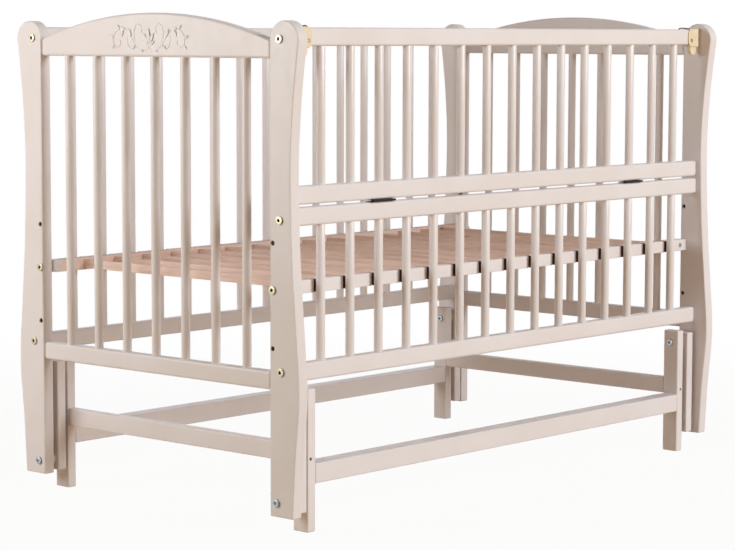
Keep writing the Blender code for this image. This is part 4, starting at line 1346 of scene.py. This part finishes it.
# Soft boxes, a little cooler than white: name, place, target, width and power
LAMP_TINT = (0.955, 1.0, 1.0)
LAMPS = (
    ("left softbox", (-2.4, 1.05, 1.15), (-0.6, 0.0, 0.4), 1.3, 32),
    ("front softbox", (0.9, -6.7, 2.95), (0.0, -0.3, 0.4), 2.6, 351),
)

# The camera that was fitted to the view: metres, radians and millimetres
CAMERA_PLACE = Vector((-3.5952, -3.1611, 0.8644))
CAMERA_YAW = 0.7276557
CAMERA_PITCH = 0.0993188
CAMERA_ROLL = -0.0027139
CAMERA_LENS = 118.35
CAMERA_SENSOR = 36.0


def seen_directly(tree):
    """Output that is 1 for what the camera, a reflection or glass shows, and 0 for light that falls."""
    rays = ("Is Camera Ray", "Is Glossy Ray", "Is Transmission Ray")
    camera, glossy, glass = (node(tree, "ShaderNodeLightPath", out=ray) for ray in rays)
    first = node(tree, "ShaderNodeMath", {0: camera, 1: glossy}, operation="ADD")
    return node(tree, "ShaderNodeMath", {0: first, 1: glass}, operation="ADD", use_clamp=True)


class CRIB_OT_stage(bpy.types.Operator):
    """Build the floor, the studio light and the camera"""

    bl_idname = "crib.stage"
    bl_label = "Stage"

    def execute(self, context):
        self.floor()
        self.world(context.scene)
        for lamp in LAMPS:
            self.lamp(context.scene, *lamp)
        self.camera(context.scene)
        context.scene.view_settings.view_transform = "Standard"
        return {"FINISHED"}

    def floor(self):
        material, tree = new_material("studio floor", Base_Color=tint("floor"), Roughness=FLOOR_ROUGHNESS)
        plain = tree.nodes["Principled BSDF"].outputs[0]
        white = node(tree, "ShaderNodeEmission", {"Color": WHITE, "Strength": 1.0})
        place = node(tree, "ShaderNodeTexCoord", out="Object")
        reach = node(tree, "ShaderNodeVectorMath", {0: place}, "Value", operation="LENGTH")
        fade = node(tree, "ShaderNodeMapRange", {0: reach, **FLOOR_FADE}, **SMOOTH)
        share = node(tree, "ShaderNodeMath", {0: seen_directly(tree), 1: fade}, operation="MULTIPLY")
        mixed = node(tree, "ShaderNodeMixShader", {0: share, 1: plain, 2: white})
        tree.links.new(mixed, tree.nodes["Material Output"].inputs["Surface"])
        bm = bmesh.new()
        bmesh.ops.create_circle(bm, cap_ends=True, radius=FLOOR_RADIUS, segments=FLOOR_SIDES)
        floor = object_from("floor", bm)
        if floor.data.polygons[0].normal.z < 0:
            floor.data.flip_normals()
        floor.data.materials.append(material)

    def world(self, scene):
        world = bpy.data.worlds.new("studio")
        world.use_nodes = True
        tree = world.node_tree
        light = tree.nodes["Background"]
        light.inputs["Color"].default_value = ROOM_TINT
        place = node(tree, "ShaderNodeTexCoord", out="Generated")
        rise = node(tree, "ShaderNodeSeparateXYZ", {0: place}, 2)
        fade = node(tree, "ShaderNodeMapRange", {0: rise, **ROOM_FADE}, **SMOOTH)
        tree.links.new(fade, light.inputs["Strength"])
        white = node(tree, "ShaderNodeBackground", {"Color": WHITE, "Strength": 1.0})
        mixed = node(tree, "ShaderNodeMixShader", {0: seen_directly(tree), 1: light.outputs[0], 2: white})
        tree.links.new(mixed, tree.nodes["World Output"].inputs["Surface"])
        scene.world = world

    def lamp(self, scene, name, place, target, width, power):
        data = bpy.data.lights.new(name, "AREA")
        data.shape = "SQUARE"
        data.size = width
        data.energy = power
        data.color = LAMP_TINT
        lamp = bpy.data.objects.new(name, data)
        lamp.location = place
        lamp.rotation_euler = (Vector(target) - Vector(place)).to_track_quat("-Z", "Y").to_euler()
        scene.collection.objects.link(lamp)

    def camera(self, scene):
        yaw, pitch, roll = CAMERA_YAW, CAMERA_PITCH, CAMERA_ROLL
        ahead = Vector((math.cos(yaw) * math.cos(pitch), math.sin(yaw) * math.cos(pitch), -math.sin(pitch)))
        right = Vector((math.sin(yaw), -math.cos(yaw), 0))
        down = ahead.cross(right)
        across = right * math.cos(roll) + down * math.sin(roll)
        under = -right * math.sin(roll) + down * math.cos(roll)
        data = bpy.data.cameras.new("camera")
        data.lens = CAMERA_LENS
        data.sensor_width = CAMERA_SENSOR
        camera = bpy.data.objects.new("camera", data)
        turn = Matrix((across, -under, -ahead)).transposed()
        camera.matrix_world = Matrix.Translation(CAMERA_PLACE) @ turn.to_4x4()
        scene.collection.objects.link(camera)
        scene.camera = camera


OPERATORS = (
    CRIB_OT_posts,
    CRIB_OT_end_frames,
    CRIB_OT_carving,
    CRIB_OT_fixed_sides,
    CRIB_OT_drop_side,
    CRIB_OT_mattress_base,
    CRIB_OT_stand,
    CRIB_OT_swing_arms,
    CRIB_OT_pivots,
    CRIB_OT_connectors,
    CRIB_OT_hinges,
    CRIB_OT_latches,
    CRIB_OT_stage,
)


class CRIB_PT_panel(bpy.types.Panel):
    """The crib's sizes, colours and building steps"""

    bl_idname = "CRIB_PT_panel"
    bl_label = "Pendulum crib"
    bl_space_type = "VIEW_3D"
    bl_region_type = "UI"
    bl_category = "Crib"

    def draw(self, context):
        for group in (context.scene.crib_sizes, context.scene.crib_colours):
            column = self.layout.column()
            for name in group.__annotations__:
                column.prop(group, name)
        for operator in OPERATORS:
            self.layout.operator(operator.bl_idname)


CLASSES = (CribSizes, CribColours, *OPERATORS, CRIB_PT_panel)


def register():
    for cls in CLASSES:
        bpy.utils.register_class(cls)
    bpy.types.Scene.crib_sizes = PointerProperty(type=CribSizes)
    bpy.types.Scene.crib_colours = PointerProperty(type=CribColours)


def unregister():
    del bpy.types.Scene.crib_colours
    del bpy.types.Scene.crib_sizes
    for cls in reversed(CLASSES):
        bpy.utils.unregister_class(cls)


def main():
    register()
    bpy.ops.crib.posts()
    bpy.ops.crib.end_frames()
    bpy.ops.crib.carving()
    bpy.ops.crib.fixed_sides()
    bpy.ops.crib.drop_side()
    bpy.ops.crib.mattress_base()
    bpy.ops.crib.stand()
    bpy.ops.crib.swing_arms()
    bpy.ops.crib.pivots()
    bpy.ops.crib.connectors()
    bpy.ops.crib.hinges()
    bpy.ops.crib.latches()
    bpy.ops.crib.stage()


if __name__ == "__main__":
    main()
